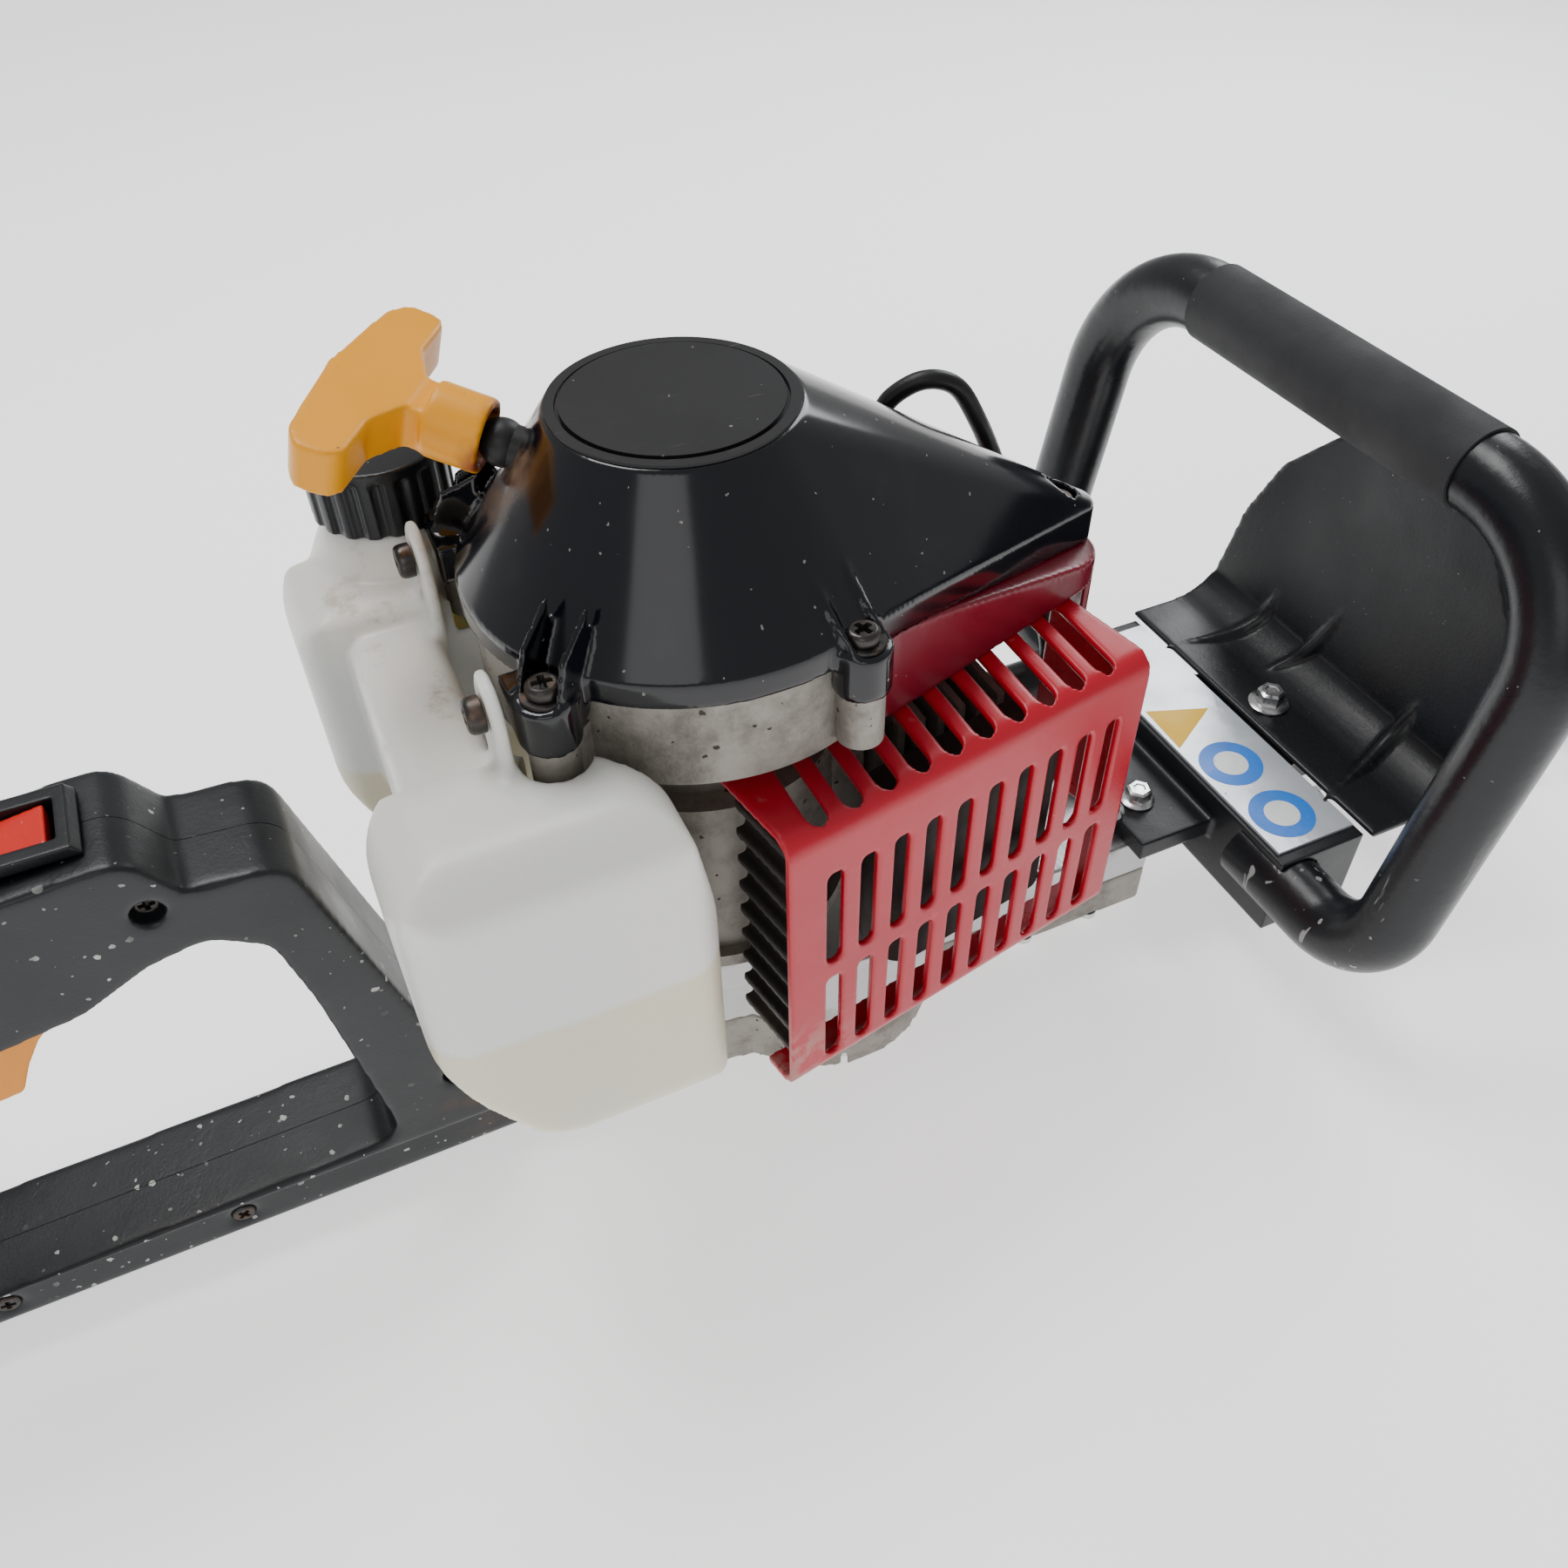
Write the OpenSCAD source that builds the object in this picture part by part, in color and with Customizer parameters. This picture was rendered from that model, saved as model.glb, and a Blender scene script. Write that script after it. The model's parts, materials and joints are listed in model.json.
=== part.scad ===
// Two-stroke petrol hedge trimmer with a double-sided reciprocating blade.
// +X points forward along the blade, +Y to the machine's left, +Z up.
// The origin is on the floor, under the centre of the overall box.

/* [Overall] */
// Distance from the crankshaft axis to the blade tip guard's front end
front_reach = 790; // [700:5:900]
// Distance from the crankshaft axis back to the rear of the D-handle
rear_reach = 312; // [306:1:330]

/* [Blade] */
// Pitch of the blade teeth
tooth_pitch = 36; // [30:1:40]
// Number of teeth on each side of one blade
tooth_count = 15; // [10:1:15]
// Width across the teeth of one blade
blade_w = 74; // [60:1:80]
// Full stroke of each blade
stroke = 16; // [10:1:18]

/* [Engine] */
// Radius of the starter cover's lower rim
cover_r = 62; // [60:1:64]
// Radius of the starter cover's flat top
cover_top_r = 33; // [28:1:36]
// Height of the starter cover's flat top above the floor
cover_top_z = 255; // [250:1:260]
// Throw of the crankpin
crank_throw = 14; // [12:1:15]

/* [Fuel tank] */
// Half of the tank's overall width
tank_half_w = 80; // [78:1:84]
// Height of the tank's saddle between its two lobes
tank_saddle_z = 185; // [180:1:188]

/* [Rear handle] */
// Half width of the grip and the neck
grip_half_w = 20; // [18:1:21]
// Height of the lower bar
bar_h = 20; // [18:1:22]

/* [Front handle] */
// Half width of the loop, measured to the tube's centre line
loop_half_w = 112; // [108:1:116]
// Radius of the loop's tube
loop_tube_r = 12.8; // [12:0.2:14]
// Forward tilt of the loop in degrees
loop_tilt = 10; // [6:1:12]

/* [Hidden] */
$fn = 48;

gap = 0.3;
axis_x = (rear_reach - front_reach) / 2;
tip_x = front_reach;
rear_x = -rear_reach;

// Heights of the stacked castings
case_bottom_z = 0;
case_split_z = 24;
case_top_z = 62;
crankcase_z = 84;
fan_floor_z = 178;
cover_rim_z = 205;
cone_base_z = 213;
cyl_z = 118;

// Gear pair: pitch radii from tooth counts and module
gear_module = 1.6;
pinion_teeth = 10;
gear_teeth = 40;
gear_x = gear_module * (pinion_teeth + gear_teeth) / 2;
gear_z = 34;
gear_t = 8;

// Blade stack
lower_blade_z = 12.6;
blade_t = 2.4;
upper_blade_z = 15.6;
support_z = 18.6;
blade_root_x = 176;
first_tooth_x = 224;

// Moves a module drawn about the crankshaft axis into the part's own frame
module placed() { translate([axis_x, 0, 0]) children(); }
module both_sides() {
    children();
    mirror([0, 1, 0]) children();
}
module along_x(x, y, z) { translate([x, y, z]) rotate([0, 90, 0]) children(); }
module along_y(x, y, z) { translate([x, y, z]) rotate([-90, 0, 0]) children(); }

// A flat outline in X and Z, drawn from y0 to y1
module slab_xz(y0, y1) { translate([0, y1, 0]) rotate([90, 0, 0]) linear_extrude(y1 - y0) children(); }
// A flat outline in Y and Z, drawn from x0 to x1
module slab_yz(x0, x1) {
    translate([x0, 0, 0]) rotate([90, 0, 90]) linear_extrude(x1 - x0) children();
}
module rounded(r) { offset(r) offset(-r) children(); }
module softened(r) { offset(-r) offset(r) children(); }
module ring(r_out, r_in, h) {
    difference() {
        cylinder(r = r_out, h = h);
        translate([0, 0, -1]) cylinder(r = r_in, h = h + 2);
    }
}
module slot2d(length, width) {
    flat = length - width;
    translate([-flat / 2, -width / 2]) square([flat, width]);
    for (s = [-1, 1]) translate([s * flat / 2, 0]) circle(d = width, $fn = 24);
}

// Tube swept along points, as one closed polyhedron
function unit(v) = v / norm(v);
function heading(p, i) = unit(p[min(i + 1, len(p) - 1)] - p[max(i - 1, 0)]);
function side_of(h) = abs(h[2]) > 0.9 ? unit(cross(h, [1, 0, 0])) : unit(cross(h, [0, 0, 1]));
function carried(s, h) = unit(s - (s * h) * h);
function sides(p, i) = i == 0 ? side_of(heading(p, 0)) : carried(sides(p, i - 1), heading(p, i));
function ring_at(p, i, s, r, n) =
    [for (k = [0 : n - 1]) let (a = 360 * k / n)
        p[i] + r * (cos(a) * s + sin(a) * cross(heading(p, i), s))];
module swept_tube(p, r, n) {
    m = len(p);
    points = [for (i = [0 : m - 1]) each ring_at(p, i, sides(p, i), r, n)];
    walls = [for (i = [0 : m - 2], k = [0 : n - 1]) let (k2 = (k + 1) % n)
        [i * n + k, (i + 1) * n + k, (i + 1) * n + k2, i * n + k2]];
    first_cap = [[for (k = [0 : n - 1]) k]];
    last_cap = [[for (k = [0 : n - 1]) (m - 1) * n + n - 1 - k]];
    polyhedron(points, concat(first_cap, walls, last_cap));
}
// Smooth points through hand-picked ones
function spline_at(a, b, c, d, t) =
    0.5 * ((2 * b) + (c - a) * t + (2 * a - 5 * b + 4 * c - d) * t * t
    + (3 * b - a - 3 * c + d) * t * t * t);
function smooth(p, n) = [
    for (i = [0 : len(p) - 2], k = [0 : n - 1])
        spline_at(p[max(i - 1, 0)], p[i], p[i + 1], p[min(i + 2, len(p) - 1)], k / n),
    p[len(p) - 1]
];

// Rear handle: outer outline, D-opening and the cavity inside the shells
grip_top_z = 178;
neck_top_z = 160;
handle_outer = [
    [rear_x + 20, 0], [-66, 0], [-50, 8], [-50, 32], [-91, 32], [-107, 90], [-124, neck_top_z],
    [-150, neck_top_z + 2], [-160, grip_top_z], [-270, grip_top_z - 6], [rear_x + 14, 158],
    [rear_x, 128], [rear_x, 24]
];
handle_opening = [
    [-122, bar_h + 4], [-131, 105], [-136, 132], [-150, 142], [-166, 139], [-186, 129],
    [-230, 122],
    [rear_x + 32, 114], [rear_x + 27, 60], [rear_x + 36, bar_h]
];
handle_wall = 3;
boss_spots = [
    [-160, 158], [-178, 9], [-251, 9], [-100, 46], [rear_x + 13, 90], [-276, 150], [-70, 8]
];
trigger_pivot = [-181, 143];
lockout_pivot = [-214, 158];

module handle_outline() {
    difference() {
        rounded(11) polygon(handle_outer);
        rounded(9) softened(8) polygon(handle_opening);
    }
}
module trigger_slot2d() { translate([-243, 110]) square([70.4, 26.6]); }
module lockout_slot2d() { translate([-267, 164]) square([49, 20]); }
module switch_slot2d() { translate([-206, 168]) square([36, 20]); }
module handle_half() {
    difference() {
        slab_xz(-grip_half_w, 0) handle_outline();
        difference() {
            slab_xz(-grip_half_w + handle_wall, 1) difference() {
                offset(-handle_wall) handle_outline();
                for (s = boss_spots) translate(s) circle(5.5);
                translate(trigger_pivot) circle(6.5);
                translate(lockout_pivot) circle(5.5);
            }
            translate([rear_x - 5, -grip_half_w, -1]) cube([255, 5.6, bar_h + 3]);
        }
        slab_xz(-7, 1) trigger_slot2d();
        slab_xz(-6, 1) lockout_slot2d();
        slab_xz(-10, 1) switch_slot2d();
        translate([-60, -grip_half_w + handle_wall, 12]) cube([30, grip_half_w, 16]);
        translate([rear_x - 5, -grip_half_w - 1, -1]) cube([253, 5, bar_h + 0.5]);
        along_y(trigger_pivot[0], -14, trigger_pivot[1]) cylinder(r = 2.5, h = 20);
        slab_xz(-8.3, 1) translate(trigger_pivot) circle(8);
        slab_xz(-6, 1) translate(lockout_pivot) circle(7);
        for (s = boss_spots) along_y(s[0], -grip_half_w - 1, s[1]) cylinder(r = 1.8, h = 60);
    }
}
module rear_handle_right_shell() {
    color([0.07, 0.08, 0.08]) placed() difference() {
        handle_half();
        for (s = boss_spots) along_y(s[0], -grip_half_w - 1, s[1]) cylinder(r = 4.2, h = 7.5);
    }
}
module rear_handle_left_shell() {
    color([0.07, 0.08, 0.08]) placed() mirror([0, 1, 0]) handle_half();
}
module handle_screws() {
    color([0.12, 0.11, 0.1]) placed() for (s = boss_spots) along_y(s[0], -grip_half_w + 4, s[1]) {
        cylinder(r = 3.8, h = 2.5);
        cylinder(r = 1.75, h = 30);
    }
}
module switch_bezel() {
    color([0.05, 0.05, 0.05]) placed() difference() {
        union() {
            slab_xz(-12.5, 12.5) polygon([
                [-208, 179], [-206, 181.6], [-170, 181.6], [-168, 179], [-168, 178], [-208, 177]
            ]);
            translate([-205, -9.5, 163]) cube([34, 19, 16]);
        }
        translate([-203, -8, 162]) cube([30, 16, 20]);
    }
}
module stop_switch_rocker() {
    color([0.8, 0.06, 0.05]) placed() {
        slab_xz(-7.5, 7.5) polygon([
            [-200, 179.5], [-200, 184.5], [-187.5, 179], [-175.5, 180.8], [-175.5, 176],
            [-182, 171], [-193, 171]
        ]);
    }
}
module throttle_trigger() {
    color([0.82, 0.5, 0.1]) placed() difference() {
        slab_xz(-6, 6) rounded(2.5) polygon([
            [-174, 143], [-178, 149.5], [-204, 150], [-214, 142], [-228, 118], [-230, 96],
            [-226, 91], [-214, 92], [-209, 102], [-203, 111], [-194, 119], [-184, 129], [-176, 137]
        ]);
        along_y(trigger_pivot[0], -10, trigger_pivot[1]) cylinder(r = 2.55, h = 20);
    }
}
module trigger_pivot_pin() {
    color([0.7, 0.7, 0.7]) placed() along_y(trigger_pivot[0], -14, trigger_pivot[1])
        cylinder(r = 2.5, h = 28);
}
module throttle_lockout() {
    color([0.05, 0.05, 0.05]) placed() slab_xz(-5.5, 5.5) rounded(1.5) polygon([
        [-209, 156], [-210, 162], [-219, 166], [-222, 176], [-236, 181], [-262, 178], [-264, 170],
        [-250, 162], [-216, 154]
    ]);
}
cable_route = [
    [-198, 12, 156], [-170, 12, 151], [-149, 12, 148.6], [-129, 12, 134], [-122, 12, 100],
    [-112, 12, 68], [-104, 12, 36], [-84, 12, 21], [-62, 12, 22], [-46, 14, 22], [-34, 36, 36],
    [-14, 56, 58], [6, 64, 66], [20, 67, 78], [23, 66, 97.6]
];
module throttle_cable() {
    color([0.03, 0.03, 0.03]) placed() swept_tube(smooth(cable_route, 4), 2, 8);
}

// Fuel tank: two lobes joined by a saddle that wraps the crankcase
tank_rear_x = -105;
tank_front_x = -24;
tank_top_z = 192;
tank_bottom_z = 72;
module lobe_side() {
    rounded(16) polygon([
        [tank_rear_x, tank_top_z], [tank_front_x - 8, tank_top_z], [tank_front_x, 150],
        [tank_front_x + 6, tank_bottom_z + 8], [-32, tank_bottom_z], [-62, tank_bottom_z],
        [-84, 88], [tank_rear_x, 124]
    ]);
}
module saddle_side() {
    rounded(6) polygon([
        [-92, tank_saddle_z], [-66, tank_saddle_z], [-66, 110], [-80, 110], [-92, 130]
    ]);
}
module lobe_plan(y0, y1) {
    rounded(13) polygon([
        [tank_rear_x, y0], [tank_rear_x, y1], [tank_front_x + 6, y1], [tank_front_x + 6, 66], [-50, y0]
    ]);
}
module tank_lobe(inset) {
    intersection() {
        slab_xz(30, tank_half_w) offset(-inset) lobe_side();
        translate([0, 0, 50]) linear_extrude(160) offset(-inset) lobe_plan(36, tank_half_w);
        slab_yz(-120, 0) offset(-inset) rounded(16) translate([30, tank_bottom_z])
            square([tank_half_w - 30, tank_top_z - tank_bottom_z]);
    }
}
module tank_lug() {
    slab_yz(-67.5, -64) hull() {
        translate([36, 205]) circle(10.5);
        translate([27, tank_saddle_z - 6]) square([20, 2]);
    }
}
cap_spot = [-68, 70];
cap_r = 21;
tank_wall = 2.5;
module fuel_tank() {
    color([0.93, 0.92, 0.86]) placed() difference() {
        union() {
            both_sides() tank_lobe(0);
            slab_xz(-40, 40) saddle_side();
            both_sides() tank_lug();
            intersection() {
                translate([cap_spot[0], cap_spot[1], 172]) cylinder(r1 = 34, r2 = 18, h = 32);
                translate([tank_rear_x, 40, 150]) cube([70, tank_half_w - 40, 60]);
            }
        }
        both_sides() along_x(-70, 36, 205) cylinder(r = 2.6, h = 10);
        translate([0, 0, 60]) cylinder(r = 60.8, h = 118);
        translate([0, 0, 176]) cylinder(r = 65, h = 40);
        translate([0, 0, 176]) lug_spots() cylinder(r = 9.5, h = 40);
        translate([cap_spot[0], cap_spot[1], 180]) cylinder(r = 13, h = 30);
        both_sides() intersection() {
            tank_lobe(tank_wall);
            translate([tank_rear_x, 20, tank_bottom_z]) cube([50, 60, 104]);
        }
    }
}
module tank_cap() {
    color([0.04, 0.04, 0.04]) placed() translate([cap_spot[0], cap_spot[1], 0]) {
        difference() {
            translate([0, 0, 204.3]) cylinder(r = cap_r, h = 21);
            for (a = [0 : 20 : 359]) rotate(a) translate([cap_r + 1.2, 0, 204])
                cylinder(r = 2.4, h = 18);
        }
        translate([0, 0, 192]) cylinder(r = 12.7, h = 13);
    }
}
module tank_screws() {
    color([0.1, 0.09, 0.09]) placed() both_sides() {
        along_x(-72.5, 36, 205) cylinder(r = 5, h = 5);
        along_x(-68, 36, 205) cylinder(r = 2.5, h = 12);
    }
}
fuel_route = [
    [-40, 66, 71.6], [-34, 67, 60], [-22, 68, 58], [-8, 66, 65], [4, 58, 80], [9, 53, 90], [10, 52, 97]
];
module fuel_line() {
    color([0.85, 0.75, 0.35]) placed() swept_tube(smooth(fuel_route, 3), 2.5, 8);
}

// Starter cover: a low cone whose flanks run forward to a pointed tail
tail_x = 126;
tail_r = 9;
tail_top_z = 190;
tail_low_z = 172;
module cover_solid(inset) {
    hull() {
        translate([0, 0, cone_base_z - inset]) cylinder(
            r1 = cover_r - inset, r2 = cover_top_r - inset, h = cover_top_z - cone_base_z, $fn = 64);
        translate([0, 0, cover_rim_z - inset * 2]) cylinder(r = cover_r - inset, h = 4, $fn = 64);
        translate([tail_x, 0, tail_low_z - inset * 2]) cylinder(
            r = tail_r - inset / 2, h = tail_top_z - tail_low_z + inset * 0.6, $fn = 32);
    }
}
module cover_trim() {
    slab_xz(-90, 90) polygon([
        [-90, 100], [190, 100], [190, tail_low_z + 2], [tail_x + 20, tail_low_z + 2],
        [60, cover_rim_z - 8], [20, cover_rim_z + 0.4], [-90, cover_rim_z + 0.4]
    ]);
}
rear_lug = [141, 69];
front_lug = [67, 63.5];
module lug_spots() {
    for (lug = [rear_lug, front_lug], s = [1, -1])
        rotate(s * lug[0]) translate([lug[1], 0, 0]) children();
}
rope_pitch = 17;
rope_exit = [-38.5, 17, 243];
module at_rope() {
    translate(rope_exit) rotate([0, 0, 145]) rotate([0, -rope_pitch, 0]) rotate([0, 90, 0])
        children();
}
module starter_housing() {
    color([0.03, 0.03, 0.035]) placed() difference() {
        union() {
            difference() {
                cover_solid(0);
                cover_solid(2.5);
                cover_trim();
            }
            difference() {
                translate([0, 0, 197]) lug_spots() {
                    cylinder(r = 8, h = 15);
                    translate([-12, -7, 8]) cube([12, 14, 6.5]);
                }
                translate([0, 0, 190]) cylinder(r = cover_r - 2, h = 40);
            }
            translate([tail_x - 3, 0, tail_low_z + 2.4]) cylinder(r = 5, h = 14.5);
            difference() {
                both_sides() translate([-62, 29, 198.5]) cube([14, 16, 11.7]);
                translate([0, 0, 190]) cylinder(r = cover_r - 2, h = 40);
            }
        }
        translate([0, 0, 190]) lug_spots() cylinder(r = 2.6, h = 40);
        translate([0, 0, 211]) lug_spots() cylinder(r = 8.6, h = 20);
        both_sides() along_x(-70, 36, 205) cylinder(r = 2.55, h = 24);
        translate([tail_x - 3, 0, 150]) cylinder(r = 2.6, h = 60);
        translate([tail_x - 3, 0, tail_top_z]) cylinder(r = 5.6, h = 20);
        along_y(79.5, 10, 201) cylinder(r = 4, h = 40);
        at_rope() translate([0, 0, -20]) cylinder(r = 6.8, h = 40);
    }
}
module starter_badge() {
    color([0.1, 0.1, 0.1]) placed() translate([0, 0, cover_top_z]) {
        cylinder(r = cover_top_r * 0.87, h = 1.2);
        ring(cover_top_r - 0.5, cover_top_r * 0.9, 0.8);
    }
}
module starter_screws() {
    color([0.2, 0.19, 0.18]) placed() {
        lug_spots() {
            translate([0, 0, 211]) cylinder(r = 5.6, h = 1);
            translate([0, 0, 212]) cylinder(r = 4.6, h = 3.4);
            translate([0, 0, 186]) cylinder(r = 2.4, h = 26);
        }
        translate([tail_x - 3, 0, tail_top_z]) cylinder(r = 5, h = 3);
        translate([tail_x - 3, 0, 170]) cylinder(r = 2.4, h = 22);
    }
}
module rope_grommet() {
    color([0.03, 0.03, 0.03]) placed() at_rope() difference() {
        union() {
            translate([0, 0, -4]) cylinder(r = 5.7, h = 8);
            translate([0, 0, 2.6]) sphere(r = 6.4);
        }
        translate([0, 0, -20]) cylinder(r = 2.2, h = 60);
        translate([0, 0, -24]) cylinder(r = 20, h = 20);
    }
}
// The T-handle's long axis lies across the rope
module starter_t_handle() {
    color([0.93, 0.68, 0.07]) placed() at_rope() difference() {
        union() {
            translate([0, 0, 6.4]) cylinder(r = 10, h = 15);
            translate([-6, -8, 18]) cube([12, 16, 14]);
            slab_yz(-6.5, 6.5) rounded(5) polygon([
                [-36, 31], [-37, 42], [-30, 46], [0, 49], [30, 46], [37, 42], [36, 31], [18, 31],
                [8, 26], [-8, 26], [-18, 31]
            ]);
        }
        translate([0, 0, 6]) cylinder(r = 7.2, h = 7);
        translate([0, 0, 9]) cylinder(r = 2, h = 20);
    }
}
module starter_rope() {
    color([0.9, 0.9, 0.86]) placed() at_rope() translate([0, 0, -3.8]) cylinder(r = 1.7, h = 32);
}
pulley_r = 22;
module starter_pulley() {
    color([0.12, 0.12, 0.13]) placed() translate([0, 0, 222]) difference() {
        union() {
            cylinder(r = pulley_r + 3, h = 2);
            cylinder(r = pulley_r - 3, h = 9);
            translate([0, 0, 7]) cylinder(r = pulley_r + 3, h = 2);
            for (a = [0, 180]) rotate(a) translate([10, -3, -4]) cube([8, 6, 5]);
        }
        translate([0, 0, -5]) cylinder(r = 5.05, h = 30);
    }
}
module recoil_spring() {
    color([0.45, 0.46, 0.48]) placed() translate([0, 0, 233]) ring(17, 7.5, 6);
}

// Fan housing and flywheel
module fan_housing() {
    color([0.38, 0.36, 0.33]) placed() difference() {
        union() {
            translate([0, 0, fan_floor_z]) cylinder(r = 59.5, h = cover_rim_z - fan_floor_z);
            translate([0, 0, fan_floor_z + 2]) lug_spots() {
                cylinder(r = 6.5, h = 17);
                translate([-12, -5, 0]) cube([12, 10, 17]);
            }
        }
        translate([0, 0, fan_floor_z + 4]) cylinder(r = 55, h = 60);
        translate([0, 0, fan_floor_z - 1]) cylinder(r = 14, h = 20);
        translate([0, 0, fan_floor_z + 4]) lug_spots() cylinder(r = 2.4, h = 40);
        translate([20, -16, fan_floor_z + 4]) cube([60, 32, 40]);
    }
}
module flywheel() {
    color([0.6, 0.6, 0.62]) placed() translate([0, 0, 184]) difference() {
        union() {
            cylinder(r = 44, h = 8);
            cylinder(r = 14, h = 24);
            for (a = [0 : 24 : 359]) rotate(a) translate([18, -1.2, 7]) cube([30, 2.4, 14]);
        }
        translate([0, 0, -1]) cylinder(r = 6.0, h = 40);
        for (a = [0, 180]) rotate(a) translate([30, 0, -1]) cylinder(r = 3, h = 5);
    }
}
module ignition_coil() {
    color([0.1, 0.1, 0.11]) placed() difference() {
        translate([49.5, -14, fan_floor_z + 4.5]) cube([22.5, 28, 18]);
        for (y = [-9, 9]) translate([62, y, fan_floor_z]) cylinder(r = 2, h = 30);
    }
}
lead_route = [
    [75.6, 3, 194], [76.5, 12, 196], [79, 24, 199], [80, 33, 203], [81, 40, 208], [84, 39, 216],
    [93, 35, 222], [103, 32, 219], [111, 30, 206], [119, 28.5, 188], [128, 26.5, 166],
    [132, 21, 148], [131, 8, 136], [129.5, 1.5, 130], [129, 0, 121.4]
];
module ignition_lead() {
    color([0.02, 0.02, 0.02]) placed() swept_tube(smooth(lead_route, 3), 3, 8);
}

// Crank train
module crankcase() {
    color([0.42, 0.4, 0.37]) placed() difference() {
        union() {
            translate([0, 0, crankcase_z]) cylinder(r = 42, h = 66);
            translate([0, 0, 150]) cylinder(r = 34, h = fan_floor_z - 150);
            translate([0, 0, crankcase_z]) cylinder(r = 46, h = 5);
            translate([20, -26, cyl_z - 26]) cube([24, 52, 52]);
        }
        translate([0, 0, 98]) cylinder(r = 31, h = 42);
        translate([0, 0, 80]) cylinder(r = 8.4, h = 20);
        translate([0, 0, 139]) cylinder(r = 8.4, h = 60);
        along_x(0, 0, cyl_z) cylinder(r = 17, h = 60);
        both_sides() along_x(40, 22, cyl_z + 20) cylinder(r = 2.5, h = 10);
    }
}
module shaft_bearings() {
    color([0.75, 0.75, 0.76]) placed() {
        translate([0, 0, 86]) ring(8.35, 6.05, 8);
        translate([0, 0, 160]) ring(8.35, 6.05, 8);
    }
}
module crankshaft() {
    color([0.7, 0.7, 0.72]) placed() {
        translate([0, 0, 66]) cylinder(r = 6, h = 44);
        translate([0, 0, 100]) difference() {
            cylinder(r = 28, h = 9);
            translate([12, 15, -1]) cube([30, 30, 12]);
            translate([12, -45, -1]) cube([30, 30, 12]);
        }
        translate([crank_throw, 0, 108]) cylinder(r = 5, h = 20);
        translate([0, 0, 127]) difference() {
            cylinder(r = 28, h = 9);
            translate([12, 15, -1]) cube([30, 30, 12]);
            translate([12, -45, -1]) cube([30, 30, 12]);
        }
        translate([0, 0, 135]) cylinder(r = 6, h = 49);
        translate([0, 0, 184]) cylinder(r = 5.95, h = 36);
        translate([0, 0, 220]) cylinder(r = 5, h = 11);
    }
}
piston_x = 52;
module connecting_rod() {
    color([0.6, 0.6, 0.6]) placed() translate([0, 0, cyl_z - 4]) linear_extrude(8) difference() {
        union() {
            translate([crank_throw + 10, -4]) square([40, 8]);
            translate([piston_x + 12, 0]) circle(7);
        }
        circle(crank_throw + 5.4);
        translate([piston_x + 12, 0]) circle(4.1);
    }
}
module piston() {
    color([0.8, 0.8, 0.8]) placed() {
        difference() {
            along_x(piston_x, 0, cyl_z) cylinder(r = 16.9, h = 28);
            along_x(piston_x - 1, 0, cyl_z) cylinder(r = 14, h = 22);
        }
        translate([piston_x + 12, 0, cyl_z - 14]) cylinder(r = 4, h = 28);
    }
}
module finned_cylinder() {
    color([0.55, 0.55, 0.55]) placed() difference() {
        union() {
            along_x(44, 0, cyl_z) cylinder(r = 22, h = 52);
            for (i = [0 : 6]) translate([47 + 7 * i, -29, cyl_z - 29]) cube([2.5, 58, 58]);
        }
        along_x(43, 0, cyl_z) cylinder(r = 17, h = 46);
        along_x(80, 0, cyl_z) cylinder(r = 5, h = 30);
    }
}
module spark_plug() {
    color([0.9, 0.9, 0.88]) placed() {
        along_x(90, 0, cyl_z) cylinder(r = 4.95, h = 6);
        along_x(96, 0, cyl_z) cylinder(r = 9, h = 7, $fn = 6);
        along_x(103, 0, cyl_z) cylinder(r = 5, h = 18);
    }
}
module spark_plug_boot() {
    color([0.02, 0.02, 0.02]) placed() difference() {
        union() {
            along_x(105, 0, cyl_z) cylinder(r = 8, h = 20);
            translate([129, 0, cyl_z - 8]) cylinder(r = 8, h = 14);
        }
        along_x(100, 0, cyl_z) cylinder(r = 5.05, h = 22);
        translate([129, 0, cyl_z + 3]) cylinder(r = 3.2, h = 20);
    }
}
// Plastic shroud over the cylinder, under the cover's tail
module cowl_plan(inset) {
    hull() {
        translate([30, 0]) circle(48 - inset);
        translate([112, 0]) circle(23 - inset);
    }
}
module engine_cowl() {
    color([0.45, 0.04, 0.08]) placed() difference() {
        translate([0, 0, 150]) linear_extrude(60) cowl_plan(0);
        intersection() {
            translate([0, 0, 149]) linear_extrude(70) cowl_plan(2.5);
            slab_xz(-90, 90) polygon([
                [-90, 100], [190, 100], [190, tail_low_z - 6], [tail_x + 20, tail_low_z - 1],
                [60, cover_rim_z - 11], [20, cover_rim_z - 3], [-90, cover_rim_z - 3]
            ]);
        }
        translate([40, -17, fan_floor_z + 2]) cube([42, 34, 40]);
        translate([tail_x - 3, 0, 100]) cylinder(r = 5.4, h = 100);
        cylinder(r = 60.3, h = 300);
        translate([-50, -80, 100]) cube([300, 65, 70.3]);
        slab_xz(-90, 90) polygon([
            [-90, 400], [190, 400], [190, tail_low_z + 1.8], [tail_x + 20, tail_low_z + 1.8],
            [60, cover_rim_z - 8.2], [20, cover_rim_z - 0.2], [-90, cover_rim_z - 0.2]
        ]);
    }
}

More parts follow.
